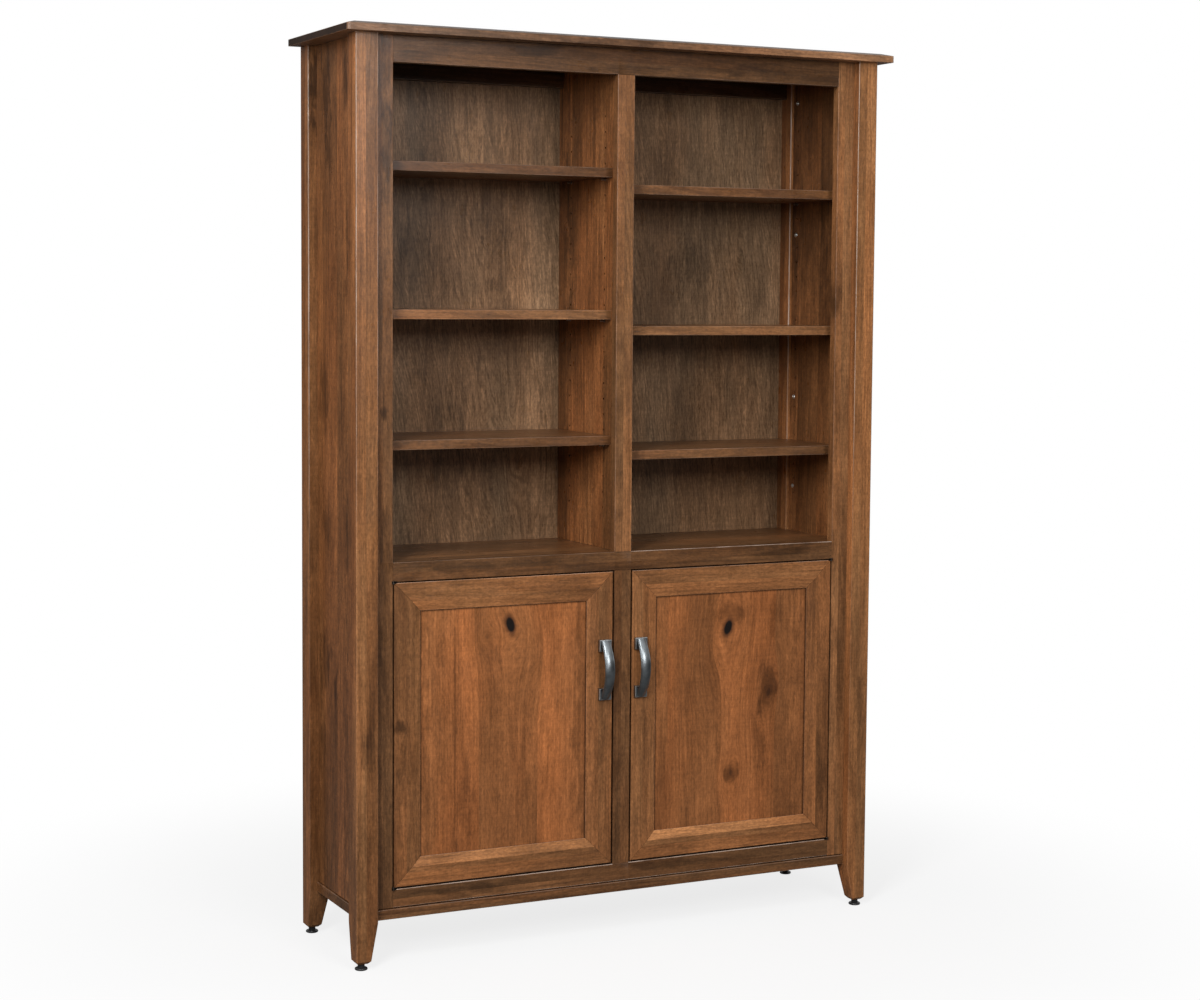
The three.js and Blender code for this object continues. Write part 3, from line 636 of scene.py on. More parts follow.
def outer(node, *axes):
    """Picks the edges that lie on the outside of the node's box on two axes and run along the third."""
    low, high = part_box(node)

    def pick(edge):
        at = middle(edge)
        third = 3 - sum(axes)
        return runs(edge, third) and all(min(abs(at[a] - low[a]), abs(at[a] - high[a])) < 3e-4 for a in axes)

    return pick


def in_front(node, axis, within=NEAR):
    """Picks the edges at the front of the node's box that run along an axis."""
    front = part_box(node)[0].y
    return lambda edge: runs(edge, axis) and middle(edge).y < front + within


def in_door_gap(face):
    """True for a wall of the frame or of a door that faces the gap round the door."""
    return abs(face.normal.y) < 0.3 and DOOR_OPENING[0] < face.calc_center_median().z < DOOR_OPENING[1]


def split(bm, axis, place):
    """Cuts the faces of a bmesh at a place on an axis."""
    point, normal = Vector(), Vector()
    point[axis], normal[axis] = place, 1
    geometry = [*bm.verts, *bm.edges, *bm.faces]
    bmesh.ops.bisect_plane(bm, geom=geometry, plane_co=point, plane_no=normal, dist=1e-5)


# The painted shade on eased edges at the gap round a door
GAP_PAINTED_SHADE = -0.5


def paint_gap_shade(bm, downward=False):
    """Notes painted shade on the eased edges at the gap round the door, only on the downward ones if so asked.
    """
    layer = layer_of(bm, "arris")
    bm.normal_update()

    def pick(face):
        at_gap = DOOR_OPENING[0] - 0.002 < face.calc_center_median().z < DOOR_OPENING[1] + 0.002
        return face.loops[0][layer] > 0 and at_gap and (not downward or face.normal.z < -0.1)

    mark([f for f in bm.faces if pick(f)], layer, GAP_PAINTED_SHADE)


def in_peg_hole(face):
    """True for a small face that doesn't look along x."""
    return abs(face.normal.x) < 0.5 and face.calc_area() < 2e-5


def is_wall(face):
    return abs(face.normal.y) < 0.3


def is_bevel(face):
    return -0.998 < face.normal.y < -0.5


def convex(edge):
    return edge.calc_face_angle_signed() > math.radians(3)


# The glaze on the end grain of the top board, and the painted dark reflection on its bevel
TOP_END_GLAZE, TOP_BEVEL_PAINTED_REFLECTION = -0.88, -0.62


def make_top_board():
    node = "top_board"
    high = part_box(node)[1]
    material = wood(node, "flat", "top", heart=(0.1, 0.12), lean=(0.05, 0.04), rings=0.55, stave=0.095,
                    blotches=0.4)
    bm = solid_of(node)
    # The corners and edges of the top are painted pale, as rubbed stain and painted highlight
    ease(bm, lambda e: runs(e, 2) and middle(e).y < high.y - 0.01, ARRIS["top_corner"], 4, wear_and_painted_light=0.9)
    ease(bm, lambda e: convex(e) and middle(e).y < high.y - NEAR, ARRIS["top"], wear_and_painted_light=0.3)
    mark_glaze_and_shade(bm, lambda f: abs(f.normal.x) > 0.6, TOP_END_GLAZE)
    # Painted dark reflection on the top board's bevel
    mark_glaze_and_shade(bm, lambda f: 0.1 < f.normal.z < 0.99, TOP_BEVEL_PAINTED_REFLECTION)
    stand_in(node, bm, "case_wood", [material], crisp=True)


# How pale the posts' edges are painted, as rubbed stain and painted highlight, and over which heights that
# grows
POST_EDGE_WEAR_AND_HIGHLIGHT = {"front": 2.3, "rear": 2.6}
POST_PALE_EDGES_ABOVE = (0.75, 1.35)


def upright(edge):
    """True for an outer edge that runs neither across nor to the back."""
    return convex(edge) and not runs(edge, 0) and not runs(edge, 1)


def make_posts():
    for end in ("front", "rear"):
        for hand, side in HANDS:
            node = f"{end}_{hand}_post"
            material = wood(node, "stile", "case", heart=(0.02 * side, 0.06), lean=(0.02, 0.03), rings=0.5,
                            blotches=0.45, streaks=0.4, fine=0.75, pale_edges_above=POST_PALE_EDGES_ABOVE)
            sides = wood(f"{node}_side", "side", "panel", node_centre(node), rings=0.5, blotches=0.45,
                         pale_edges_above=POST_PALE_EDGES_ABOVE)
            bm = solid_of(node)
            ease(bm, upright, ARRIS[end], 4, POST_EDGE_WEAR_AND_HIGHLIGHT[end])
            bm.normal_update()
            for face in bm.faces:
                if abs(face.normal.x) > 0.95:
                    face.material_index = 1
            stand_in(node, bm, "case_wood", [material, sides], crisp=True)


def peg_holes(hand, side, face, rows):
    """Round cutters for the free peg holes in one face of a board. side is the way they open."""
    taken = {row for _, row in SHELVES[hand]}
    cutter = bmesh.new()
    turn = Matrix.Rotation(math.pi / 2, 4, "Y")
    x = face - side * (HOLE_DEPTH / 2 - 0.001)
    for row in sorted(set(rows) - taken):
        for y in PIN_COLUMNS:
            place = Matrix.Translation((x, y, PIN_GRID_START + row * PIN_PITCH))
            bmesh.ops.create_cone(cutter, cap_ends=True, segments=20, radius1=PIN_RADIUS, radius2=PIN_RADIUS,
                                  depth=HOLE_DEPTH + 0.002, matrix=place @ turn)
    return cutter


def joined(parts):
    """One bmesh of several, which are used up."""
    whole = bmesh.new()
    for part in parts:
        mesh = bpy.data.meshes.new("part")
        part.to_mesh(mesh)
        part.free()
        whole.from_mesh(mesh)
        bpy.data.meshes.remove(mesh)
    return whole


def combined(bm, others, operation="DIFFERENCE"):
    """bm less the others, or in one with them, as a new bmesh. All of them are used up."""
    objects = []
    for name, part in (("stock", bm), ("tool", joined(others))):
        mesh = bpy.data.meshes.new(name)
        bmesh.ops.recalc_face_normals(part, faces=part.faces)
        part.to_mesh(mesh)
        part.free()
        objects.append(add_object(name, mesh))
    cut = objects[0].modifiers.new("cut", "BOOLEAN")
    cut.operation, cut.object, cut.solver = operation, objects[1], "EXACT"
    cut.use_self = True
    done = objects[0].evaluated_get(bpy.context.evaluated_depsgraph_get())
    result = bmesh.new()
    result.from_mesh(done.to_mesh())
    done.to_mesh_clear()
    for o in objects:
        mesh = o.data
        bpy.data.objects.remove(o)
        bpy.data.meshes.remove(mesh)
    return result


def box_bmesh(low, high):
    bm = bmesh.new()
    bmesh.ops.create_cube(bm, size=1)
    centre = (Vector(low) + Vector(high)) / 2
    size = Vector(high) - Vector(low)
    for v in bm.verts:
        v.co = Vector(a * b + c for a, b, c in zip(v.co, size, centre))
    return bm


def panel_board(hand, side):
    """The box of a side panel without the pins in it, and the place of its inner face."""
    low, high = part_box(f"{hand}_side_panel")
    if side < 0:
        high.x = low.x + BOARD
        return low, high, high.x
    low.x = high.x - BOARD
    return low, high, low.x


def make_side_panels():
    for hand, side in HANDS:
        node = f"{hand}_side_panel"
        low, high, face = panel_board(hand, side)
        material = wood(node, "side", "panel", (low + high) / 2, heart=(0.02, 0.10), lean=(0.04, 0.02),
                        rings=0.38, stave=0.085, streaks=0.45, fine=1.0)
        holes = peg_holes(hand, -side, face, [*CABINET_HOLES, *UPPER_HOLES])
        stand_in(node, combined(box_bmesh(low, high), [holes]), "case_wood", [material])


# The gap between the cleat and the notch for it in the divider
CLEAT_GAP = 3e-4


def make_dividers():
    for node, rows in (("upper_divider", UPPER_HOLES), ("lower_divider", CABINET_HOLES)):
        half = BOARD / 2
        low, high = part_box(node)
        low.x, high.x = -half, half
        material = wood(node, "side", "panel", (low + high) / 2, heart=(-0.03, 0.07), rings=0.55, stave=0.078,
                        blotches=0.45, streaks=0.7, fine=1.1)
        cutters = [peg_holes(hand, side, side * half, rows) for hand, side in HANDS]
        if node == "upper_divider":
            cleat_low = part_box("rear_top_cleat")[0]
            cutters.append(box_bmesh((-half - 0.001, cleat_low.y - CLEAT_GAP, cleat_low.z - CLEAT_GAP),
                                     (half + 0.001, high.y + 0.001, high.z + 0.001)))
        bm = combined(box_bmesh(low, high), cutters)
        # The walls of the peg holes get painted shade
        mark_glaze_and_shade(bm, in_peg_hole)
        stand_in(node, bm, "shelf_wood", [material])


def make_back():
    node = "back_panel"
    material = wood(node, "stile", "ply", heart=(-0.1, 0.16), lean=(0.16, 0.05), ring=0.0030, wander=0.013,
                    streaks=0.15, fine=0.95, crisp=0.3, gloss=0.25)
    low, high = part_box(node)
    groove = box_bmesh((low.x - 0.001, low.y - 0.001, SPLICE_HEIGHT - SPLICE_WIDTH / 2),
                       (high.x + 0.001, low.y + SPLICE_DEPTH, SPLICE_HEIGHT + SPLICE_WIDTH / 2))
    stand_in(node, combined(solid_of(node), [groove]), "back_wood", [material])
    node = "rear_top_cleat"
    # The cleat is painted near black, as painted shade under the top board
    material = wood(node, "rail", "shelf")
    board(node, "shelf_wood", material, [(outer(node, 1, 2), ARRIS["cleat"])])


def make_shelves():
    for hand, _ in HANDS:
        for node, _ in SHELVES[hand]:
            material = wood(node, "flat", "shelf", heart=(0.05, 0.05), lean=(0.05, 0.01), rings=0.5,
                            stave=0.09, streaks=0.8, gloss=0.4)
            board(node, "shelf_wood", material, [
                (in_front(node, 0, 1e-3), ARRIS["shelf_front"]),
                (lambda e: convex(e) and runs(e, 1), ARRIS["shelf_end"]),
            ])
    for node in ("fixed_deck", "cabinet_floor"):
        material = wood(node, "flat", "shelf", heart=(0.05, 0.06), lean=(0.06, 0.01), stave=0.1, blotches=0.6)
        board(node, "shelf_wood", material, [])


# How far the front edges of the rails are rounded, and how pale their edges and those of the stiles are
# painted: rubbed stain and painted highlight, with painted shade at the door gap where negative
RAIL_EASING = {"top_rail": (0.0010, 0.5), "middle_rail": (0.0010, 0.5), "bottom_rail": (0.0014, 2.6)}
# A painted highlight on the rounded top edge of the middle rail in the right bay
HIGHLIGHT_RAIL_RADIUS, PAINTED_HIGHLIGHT_RAIL_AMOUNT = 0.0013, 3.0
STILE_WEAR_AND_HIGHLIGHT = 0.35
MID_STILE_WEAR_HIGHLIGHT_AND_SHADE = {"upper_mid_stile": 0.5, "lower_mid_stile": -0.35}


def make_face_frame():
    rails = {node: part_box(node) for node in ("top_rail", "middle_rail", "bottom_rail")}
    butts = sorted(z for low, high in rails.values() for z in (low.z, high.z))

    def free(z):
        return not any(low.z - NEAR < z < high.z + NEAR for low, high in rails.values())

    for hand, side in HANDS:
        node = f"{hand}_stile"
        low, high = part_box(node)
        inner_x = high.x if side < 0 else low.x
        bm = solid_of(node)
        for z in butts:
            split(bm, 2, z)

        def pick(e):
            at = middle(e)
            return runs(e, 2) and at.y < low.y + NEAR and abs(at.x - inner_x) < NEAR and free(at.z)

        ease(bm, pick, ARRIS["stile"], wear_and_painted_light=STILE_WEAR_AND_HIGHLIGHT)
        # Painted shade on the eased edges and the walls at the door gap
        paint_gap_shade(bm)
        mark_glaze_and_shade(bm, in_door_gap)
        material = wood(node, "stile", "frame", heart=(0.03 * side, 0.07), lean=(0.03, 0.03),
                        rings=0.45, blotches=0.45, streaks=0.4)
        stand_in(node, bm, "frame_wood", [material], crisp=True)
    mids = {node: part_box(node) for node in ("upper_mid_stile", "lower_mid_stile")}
    mid_low, mid_high = mids["upper_mid_stile"]
    for node, (low, high) in rails.items():
        bm = solid_of(node)
        for x in (mid_low.x, mid_high.x):
            split(bm, 0, x)
        butted = {"top_rail": (low.z,), "middle_rail": (low.z, high.z), "bottom_rail": (high.z,)}[node]

        def pick(e):
            at = middle(e)
            if not runs(e, 0) or at.y > low.y + NEAR or min(abs(at.z - low.z), abs(at.z - high.z)) > NEAR:
                return False
            under_mid = mid_low.x < at.x < mid_high.x
            return not (under_mid and any(abs(at.z - z) < NEAR for z in butted))

        def pick_painted_highlight(e):
            return pick(e) and middle(e).x > mid_high.x and middle(e).z > high.z - NEAR

        # Painted highlight on the middle rail's top edge in the right bay
        if node == "middle_rail":
            ease(bm, pick_painted_highlight, HIGHLIGHT_RAIL_RADIUS, wear_and_painted_light=PAINTED_HIGHLIGHT_RAIL_AMOUNT)
        radius, wear_and_painted_light = RAIL_EASING[node]
        ease(bm, pick, radius, wear_and_painted_light=wear_and_painted_light)
        # Painted shade on the eased edges and the walls at the door gap
        paint_gap_shade(bm, downward=True)
        mark_glaze_and_shade(bm, in_door_gap)
        material = wood(node, "rail", "frame", heart=(0.02, 0.06), rings=0.5, streaks=0.4,
                        fine=0.6)
        stand_in(node, bm, "frame_wood", [material], crisp=True)
    for node, (low, high) in mids.items():
        material = wood(node, "stile", "frame", heart=(0.001, 0.05), lean=(0.002, 0.075),
                        ring=0.0055, wander=0.0016, blotches=0.45, streaks=0.3)
        easing = (in_front(node, 2), ARRIS["stile"], MID_STILE_WEAR_HIGHLIGHT_AND_SHADE[node])
        # The walls at the door gap get painted shade
        board(node, "frame_wood", material, [easing], glaze_and_painted_shade=in_door_gap)


def make_strips():
    node = "front_base_strip"
    material = wood(node, "rail", "frame")
    board(node, "frame_wood", material, [(in_front(node, 0), ARRIS["strip"])])
    for hand, side in HANDS:
        node = f"{hand}_base_strip"
        low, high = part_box(node)
        face = low.x if side < 0 else high.x
        material = wood(node, "flat", "case", rings=0.5)
        board(node, "case_wood", material, [
            (lambda e: runs(e, 1) and abs(middle(e).x - face) < NEAR, ARRIS["strip"]),
        ])


# The width of the staves of the door panels, and where one starts, from the middle of each panel
PANEL_STAVE = 0.128
PANEL_STAVE_START = {"left": 0.0745, "right": -0.020}

# Small swirls in the grain of the door panels: x, z, half length, half width, tilt in degrees and depth
SWIRLS = {
    "left": ((-0.284, 0.640, 0.0050, 0.0040, 20, 0.20),),
    "right": ((0.263, 0.3136, 0.0062, 0.0040, 14, 0.26), (0.352, 0.480, 0.0095, 0.0040, 12, 0.36)),
}

# Painted light and shade on the bevels of the door frames: how much lighter than their flats they are painted,
# darker where negative
BEVEL_PAINTED_LIGHT = {
    "left_door_bottom_rail": 0.66, "left_door_top_rail": 0.30, "right_door_bottom_rail": 0.92,
    "right_door_top_rail": -0.12, "right_door_latch_stile": 0.35, "right_door_hinge_stile": -0.25,
}


# The dark knot of each door panel: x, z and tilt in degrees. Then half its length and width, and how far the
# ring round a swirl reaches
KNOTS = {"left": (-0.248, 0.659, -16), "right": (0.252, 0.624, 20)}
KNOT_SIZE = (0.0155, 0.0084)
SWIRL_HALO = 2.8

# How far the outer edges of the door frame are rounded, and how pale they are painted, as rubbed stain and
# painted highlight, with painted shade at the gap where negative
DOOR_PARTS = {
    "hinge_stile": (0.0010, -0.35), "latch_stile": (0.0010, -0.35), "top_rail": (0.0010, 1.1),
    "bottom_rail": (0.0020, -0.95),
}


def make_doors():
    for hand, _ in HANDS:
        door = f"{hand}_door"
        boxes = {part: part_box(f"{door}_{part}") for part in DOOR_PARTS}
        low = Vector(map(min, *(b[0] for b in boxes.values())))
        high = Vector(map(max, *(b[1] for b in boxes.values())))
        for part, (radius, wear_and_painted_light) in DOOR_PARTS.items():
            node = f"{door}_{part}"
            grain, axis, side_axis = ("stile", 2, 0) if part.endswith("stile") else ("rail", 0, 2)

            def pick_outer(e):
                at = middle(e)
                return runs(e, axis) and all(min(abs(at[a] - low[a]), abs(at[a] - high[a])) < 2e-4
                                             for a in (side_axis, 1))

            def pick_inner(e):
                return runs(e, axis) and convex(e) and low.y + 0.002 < middle(e).y < low.y + 0.005

            material = wood(node, grain, "door", heart=(0.03, 0.07), lean=(0.03, 0.03),
                            rings=0.4, blotches=0.35, streaks=0.35)
            # The walls of the door get painted shade at the gap, and its bevels painted light, with painted
            # shade where the amount is negative
            board(node, "door_wood", material, [(pick_outer, radius, wear_and_painted_light), (pick_inner, ARRIS["door_inside"])],
                  glaze_and_painted_shade=is_wall, tinted=[(is_bevel, BEVEL_PAINTED_LIGHT.get(node, 0))])
        node = f"{door}_panel"
        centre = node_centre(node)
        x, z, tilt = KNOTS[hand]
        knots = [{"at": (z - centre.z, x - centre.x), "size": KNOT_SIZE, "tilt": math.radians(tilt)}]
        for x, z, length, width, tilt, depth in SWIRLS[hand]:
            knots.append({"at": (z - centre.z, x - centre.x), "size": (length, width),
                          "tilt": math.radians(tilt), "halo": SWIRL_HALO, "depth": depth})
        material = wood(node, "stile", "door_panel", heart=(0.02, 0.10), lean=(0.04, 0.05), rings=0.3,
                        stave=PANEL_STAVE, stave_start=PANEL_STAVE_START[hand], blotches=0.25, streaks=0.3,
                        fine=0.65, knots=knots,
                        glaze_and_shade_border=((high.z - low.z) / 2 - DOOR_FRAME, (high.x - low.x) / 2 - DOOR_FRAME))
        board(node, "door_wood", material, [(convex, ARRIS["door_panel"])])


def curve_point(ends, control, u):
    """A point of a quadratic curve."""
    (a, b), (c, d) = ends
    weights = ((1 - u) ** 2, 2 * u * (1 - u), u * u)
    return (weights[0] * a + weights[1] * control[0] + weights[2] * c,
            weights[0] * b + weights[1] * control[1] + weights[2] * d)


# A handle, in metres: half its length, its feet, and its strap as (reach, height) from the middle of the handle
HANDLE_HALF = 0.062
FOOT_WIDTH, FOOT_LENGTH, FOOT_REACH = 0.0280, 0.0245, 0.0072
STRAP_WIDTH, STRAP_TIP_WIDTH, STRAP_CROWN, STRAP_ROUND, STRAP_SHOULDER = 0.0215, 0.0190, 0.0026, 0.0008, 0.0024
STRAP_OUTER = (((0.0088, 0.0612), (0.0320, 0.0)), (0.0320, 0.0300))
STRAP_INNER = (((0.0040, 0.0575), (0.0252, 0.0)), (0.0252, 0.0250))


def strap_section(width, outer_reach, inner_reach):
    """Points (across, reach) round the strap: a crown between two narrow shoulders outside, flat inside."""
    half = width / 2
    crown = half - STRAP_SHOULDER
    shoulder = outer_reach - STRAP_CROWN
    corner, foot, lift = 0.0006, 0.0003, 0.0001
    points = [(corner - half, shoulder), (-crown - foot, shoulder + lift)]
    for k in range(-6, 7):
        share = math.sin(math.radians(80 * k / 6)) / math.sin(math.radians(80))
        points.append((crown * share, outer_reach - STRAP_CROWN * 0.72 * share ** 2))
    points += [(crown + foot, shoulder + lift), (half - corner, shoulder)]
    points += [(half, shoulder - corner), (half, inner_reach + STRAP_ROUND)]
    points += [(half - STRAP_ROUND, inner_reach), (STRAP_ROUND - half, inner_reach)]
    points += [(-half, inner_reach + STRAP_ROUND), (-half, shoulder - corner)]
    return points


def strap_bmesh(centre_x, face_y, centre_z, steps=18):
    bm = bmesh.new()
    loops = []
    for k in range(-steps, steps + 1):
        u = 1 - abs(k) / steps
        sign = 1 if k > 0 else -1
        outer_reach, outer_height = curve_point(*STRAP_OUTER, u)
        inner_reach, inner_height = curve_point(*STRAP_INNER, u)
        width = STRAP_WIDTH + (STRAP_TIP_WIDTH - STRAP_WIDTH) * (1 - u) ** 2
        loop = []
        for across, reach in strap_section(width, outer_reach, inner_reach):
            share = (reach - inner_reach) / (outer_reach - inner_reach)
            height = sign * (inner_height + (outer_height - inner_height) * share)
            loop.append(bm.verts.new((centre_x + across, face_y - reach, centre_z + height)))
        loops.append(loop)
    for first, second in zip(loops, loops[1:]):
        for i in range(len(first)):
            j = (i + 1) % len(first)
            bm.faces.new((first[i], first[j], second[j], second[i]))
    bm.faces.new(loops[0])
    bm.faces.new(reversed(loops[-1]))
    return bm


def make_handles(material):
    for hand, _ in HANDS:
        node = f"{hand}_handle"
        (x, _, z), face = node_centre(node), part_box(node)[1].y
        feet = []
        for end in (-1, 1):
            near, far = sorted((z + end * (HANDLE_HALF - FOOT_LENGTH), z + end * HANDLE_HALF))
            foot = box_bmesh((x - FOOT_WIDTH / 2, face - FOOT_REACH, near), (x + FOOT_WIDTH / 2, face, far))
            # The feet's rims are painted pale, as rubbed metal and painted highlight
            ease(foot, lambda e: middle(e).y < face - FOOT_REACH + 1e-5, 0.0019, 2, wear_and_painted_light=1.0)
            feet.append(foot)
        bm = combined(strap_bmesh(x, face, z), feet, "UNION")
        stand_in(node, bm, "handle_metal", [material], "casting", smooth_angle=30)


def turned(profile, segments=24):
    """A closed solid turned round z from (radius, height) points that start and end on the axis."""
    bm = bmesh.new()
    rings = []
    for radius, height in profile:
        if radius == 0:
            rings.append([bm.verts.new((0, 0, height))])
            continue
        turns = (2 * math.pi * i / segments for i in range(segments))
        rings.append([bm.verts.new((radius * math.cos(a), radius * math.sin(a), height)) for a in turns])
    for first, second in zip(rings, rings[1:]):
        for i in range(segments):
            j = (i + 1) % segments
            if len(first) == 1:
                bm.faces.new((first[0], second[i], second[j]))
            elif len(second) == 1:
                bm.faces.new((first[j], first[i], second[0]))
            else:
                bm.faces.new((first[j], first[i], second[i], second[j]))
    return bm


def screw_bmesh(radius, rise):
    """A screw head with a cross recess that stands on z = 0."""
    head = turned([(0, -rise * 0.4), (radius, -rise * 0.4), (radius, rise * 0.15), (radius * 0.86, rise * 0.62),
                   (radius * 0.5, rise * 0.95), (0, rise)])
    arm, thin = radius * 0.62, radius * 0.15
    for a, b in ((arm, thin), (thin, arm)):
        head = combined(head, [box_bmesh((-a, -b, rise * 0.2), (a, b, rise * 2))])
    return head


FACINGS = {
    "+x": Matrix.Rotation(math.pi / 2, 4, "Y"), "-x": Matrix.Rotation(-math.pi / 2, 4, "Y"),
    "+y": Matrix.Rotation(-math.pi / 2, 4, "X"),
}


def copies(template, facing, places):
    """Copies of a bmesh that faces +z, turned to a facing and set at the places. The template is used up."""
    parts = []
    for place in places:
        part = template.copy()
        bmesh.ops.transform(part, matrix=Matrix.Translation(place) @ FACINGS[facing], verts=part.verts)
        parts.append(part)
    template.free()
    return joined(parts)


# The connector bolts in the rear peg column of the side panels, from the photo
BOLT_COLUMN_Y = 0.112
BOLT_HEIGHTS = (0.895, 1.0945, 1.453, 1.742)

# Radius and rise of the heads, and the spread of the catch screws and pole plates from the middle of a catch
BOLT_HEAD, HANDLE_SCREW_HEAD, CATCH_SCREW_HEAD = (0.0050, 0.0024), (0.0042, 0.0016), (0.0026, 0.0009)
CATCH_SCREW_SPREAD, POLE_SPREAD, POLE_HALF, POLE_END, POLE_RISE = 0.014, 0.004, 0.0007, 0.006, 0.00012


def make_screws(bronze, zinc):
    for hand, side in HANDS:
        inner_face = panel_board(hand, side)[2]
        facing = "+x" if side < 0 else "-x"
        places = [(inner_face, BOLT_COLUMN_Y, z) for z in BOLT_HEIGHTS]
        new_piece(f"{hand}_side_panel_bolts", copies(screw_bmesh(*BOLT_HEAD), facing, places), "carcass",
                  "hinge_metal", [zinc])

        middle_of = node_centre(f"{hand}_handle")
        door_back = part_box(f"{hand}_door_latch_stile")[1].y
        reach = HANDLE_HALF - FOOT_LENGTH / 2
        places = [(middle_of.x, door_back, middle_of.z + end * reach) for end in (-1, 1)]
        new_piece(f"{hand}_handle_screws", copies(screw_bmesh(*HANDLE_SCREW_HEAD), "+y", places),
                  f"{hand}_door", "handle_metal", [bronze])

        low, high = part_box(f"{hand}_door_catch")
        centre = (low + high) / 2
        outer_face = low.x if side < 0 else high.x
        places = [(outer_face, centre.y, centre.z + end * CATCH_SCREW_SPREAD) for end in (-1, 1)]
        new_piece(f"{hand}_door_catch_screws",
                  copies(screw_bmesh(*CATCH_SCREW_HEAD), "-x" if side < 0 else "+x", places), "carcass",
                  "hinge_metal", [bronze])
        poles = joined([
            box_bmesh((x - POLE_HALF, low.y - POLE_RISE, low.z + POLE_END),
                      (x + POLE_HALF, low.y + 0.001, high.z - POLE_END))
            for x in (centre.x - POLE_SPREAD, centre.x + POLE_SPREAD)
        ])
        new_piece(f"{hand}_door_catch_poles", poles, "carcass", "hinge_metal", [bronze])


def make_brads(material):
    """The brads that hold the back panel, in its rear face."""
    low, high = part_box("back_panel")
    edge, pitch = 0.010, 0.15
    across = int((high.x - low.x - 2 * edge) / pitch) + 1
    up = int((high.z - low.z - 2 * edge) / pitch) + 1
    places = []
    for k in range(across + 1):
        x = low.x + edge + (high.x - low.x - 2 * edge) * k / across
        places += [(x, high.y, z) for z in (low.z + edge, DECK_MIDDLE, high.z - edge)]
    for k in range(1, up):
        z = low.z + edge + (high.z - low.z - 2 * edge) * k / up
        places += [(x, high.y, z) for x in (low.x + edge, 0, high.x - edge)]
    head = turned([(0, -0.0003), (0.0018, -0.0003), (0.0017, 0.0002), (0.001, 0.0003), (0, 0.0003)], 12)
    new_piece("back_panel_brads", copies(head, "+y", places), "carcass", "hinge_metal", [material])


PIN_REACH = 0.009


def make_pins(material):
    """The shelf pins: a shank with a thin collar at the board and a rounded end."""
    collar, thick, nose = 0.0037, 0.0006, 0.0008
    for hand, side in HANDS:
        for node, row in SHELVES[hand]:
            pins = []
            for face, facing in ((panel_board(hand, side)[2], -side), (side * BOARD / 2, side)):
                pin = turned([
                    (0, -HOLE_DEPTH * 0.8), (PIN_RADIUS, -HOLE_DEPTH * 0.8), (PIN_RADIUS, 0), (collar, 0.00005),
                    (collar, thick), (PIN_RADIUS, thick), (PIN_RADIUS, PIN_REACH - nose),
                    (PIN_RADIUS - nose * 0.35, PIN_REACH - nose * 0.3), (PIN_RADIUS - nose, PIN_REACH),
                    (0, PIN_REACH),
                ], 20)
                height = PIN_GRID_START + row * PIN_PITCH
                places = [(face, y, height) for y in PIN_COLUMNS]
                pins.append(copies(pin, "+x" if facing > 0 else "-x", places))
            new_piece(f"{node}_pins", joined(pins), "carcass", "hinge_metal", [material])


def make_metals():
    pewter = plain("pewter", (0.270, 0.295, 0.310), 0.34, wear_and_painted_light=0.6, metallic=1.0)
    bronze = plain("hinge_bronze", (0.045, 0.032, 0.023), 0.48, wear_and_painted_light=0.1, metallic=1.0)
    nickel = plain("nickel", (0.46, 0.44, 0.41), 0.30, wear_and_painted_light=0.2, metallic=1.0)
    zinc = plain("zinc", (0.80, 0.79, 0.76), 0.45, wear_and_painted_light=0.2, metallic=1.0)
    rubber = plain("glide_plastic", (0.018, 0.018, 0.019), 0.30, wear_and_painted_light=0.04)
    catch = plain("catch_plastic", (0.10, 0.055, 0.032), 0.42, wear_and_painted_light=0.1)
    finishes = {
        "_leaf": ("hinge_metal", bronze, 0.0003), "_strike_plate": ("hinge_metal", nickel, 0.0003),
        "_glide": ("glide", rubber, 0.0008), "_catch": ("catch", catch, 0.0008),
    }
    for node in sorted(NODES):
        for ending, (slot, material, radius) in finishes.items():
            if node.endswith(ending):
                board(node, slot, material, [(convex, radius)], "shape")
    make_handles(pewter)
    make_pins(nickel)
    make_screws(bronze, zinc)
    make_brads(bronze)


# The strength of the sky where it lights, of the room in front of the case where it is mirrored,
# and the share of the floor's look that its shading makes
SKY_STRENGTH = 0.26
ROOM_STRENGTH = 0.04
FLOOR_SHADOW = 0.20
FLOOR_MIRRORED = 0.06


def light_rays(s):
    rays = s.node("ShaderNodeLightPath").outputs
    return rays, s.math("MAXIMUM", rays["Is Glossy Ray"], rays["Is Transmission Ray"])


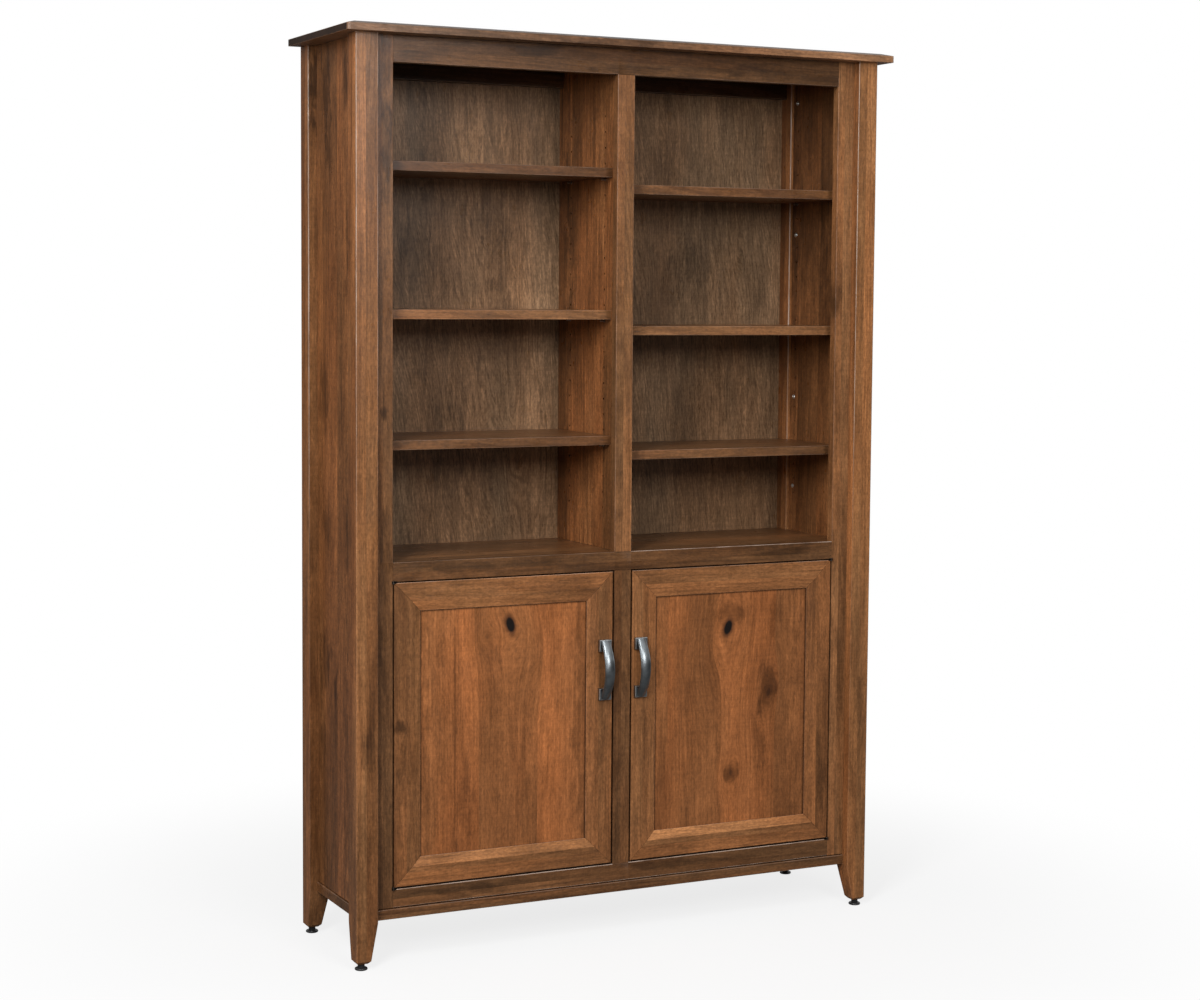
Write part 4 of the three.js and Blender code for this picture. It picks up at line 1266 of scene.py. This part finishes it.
def make_stage():
    world = bpy.data.worlds.new("studio")
    world.use_nodes = True
    bpy.context.scene.world = world
    world.node_tree.nodes.clear()
    s = Shader(world.node_tree)
    rays, mirrored = light_rays(s)
    upward = s.split(s.node("ShaderNodeTexCoord").outputs["Generated"])[2]
    room = s.remap(upward, 0.0, 0.55, ROOM_STRENGTH, 0.7)
    strength = s.plus(s.times(s.minus(room, SKY_STRENGTH), mirrored), SKY_STRENGTH)
    strength = s.math("MAXIMUM", strength, rays["Is Camera Ray"])
    sky = s.node("ShaderNodeBackground", {"Color": (1, 1, 1, 1), "Strength": strength})
    s.node("ShaderNodeOutputWorld", {"Surface": sky.outputs[0]})

    bm = bmesh.new()
    bmesh.ops.create_circle(bm, cap_ends=True, segments=96, radius=14)
    mesh = bpy.data.meshes.new("floor")
    bm.to_mesh(mesh)
    bm.free()
    floor = add_object("floor", mesh)
    material, s = new_material("floor")
    distance = s.vector("LENGTH", s.node("ShaderNodeTexCoord").outputs["Object"])
    rays, mirrored = light_rays(s)
    seen = s.math("MAXIMUM", rays["Is Camera Ray"], s.times(mirrored, FLOOR_MIRRORED))
    away = s.times(s.remap(distance, 0.6, 1.7, 1 - FLOOR_SHADOW, 1.0), seen)
    shown = s.mix(seen, s.mix(mirrored, (0.3, 0.3, 0.3, 1), (0.05, 0.05, 0.05, 1)), (0.98, 0.98, 0.98, 1))
    card = s.node("ShaderNodeBsdfDiffuse", {"Color": shown})
    white = s.node("ShaderNodeEmission", {"Color": (1, 1, 1, 1), "Strength": 1.0})
    mixed = s.node("ShaderNodeMixShader", {0: away, 1: card.outputs[0], 2: white.outputs[0]})
    s.node("ShaderNodeOutputMaterial", {"Surface": mixed.outputs[0]})
    mesh.materials.append(material)


# The area lamps: place, the point that they face, size, and power in watts
LAMPS = {
    "key": ((-2.5, -2.5, 2.8), (0.1, 0, 1.3), (1.0, 2.6), 116),
    "fill": ((0.0, -3.7, 2.15), (0, 0, 1.3), (1.2, 0.9), 46),
}


def make_lamps():
    for name, (place, target, size, power) in LAMPS.items():
        data = bpy.data.lights.new(name, "AREA")
        data.shape = "RECTANGLE"
        data.size, data.size_y = size
        data.energy = power
        lamp = add_object(name, data)
        lamp.location = place
        lamp.rotation_mode = "QUATERNION"
        lamp.rotation_quaternion = (Vector(target) - Vector(place)).to_track_quat("-Z", "Y")


make_camera()
make_stage()
make_lamps()
make_top_board()
make_posts()
make_side_panels()
make_dividers()
make_back()
make_shelves()
make_face_frame()
make_strips()
make_doors()
make_metals()

bpy.context.scene.view_settings.view_transform = "Standard"
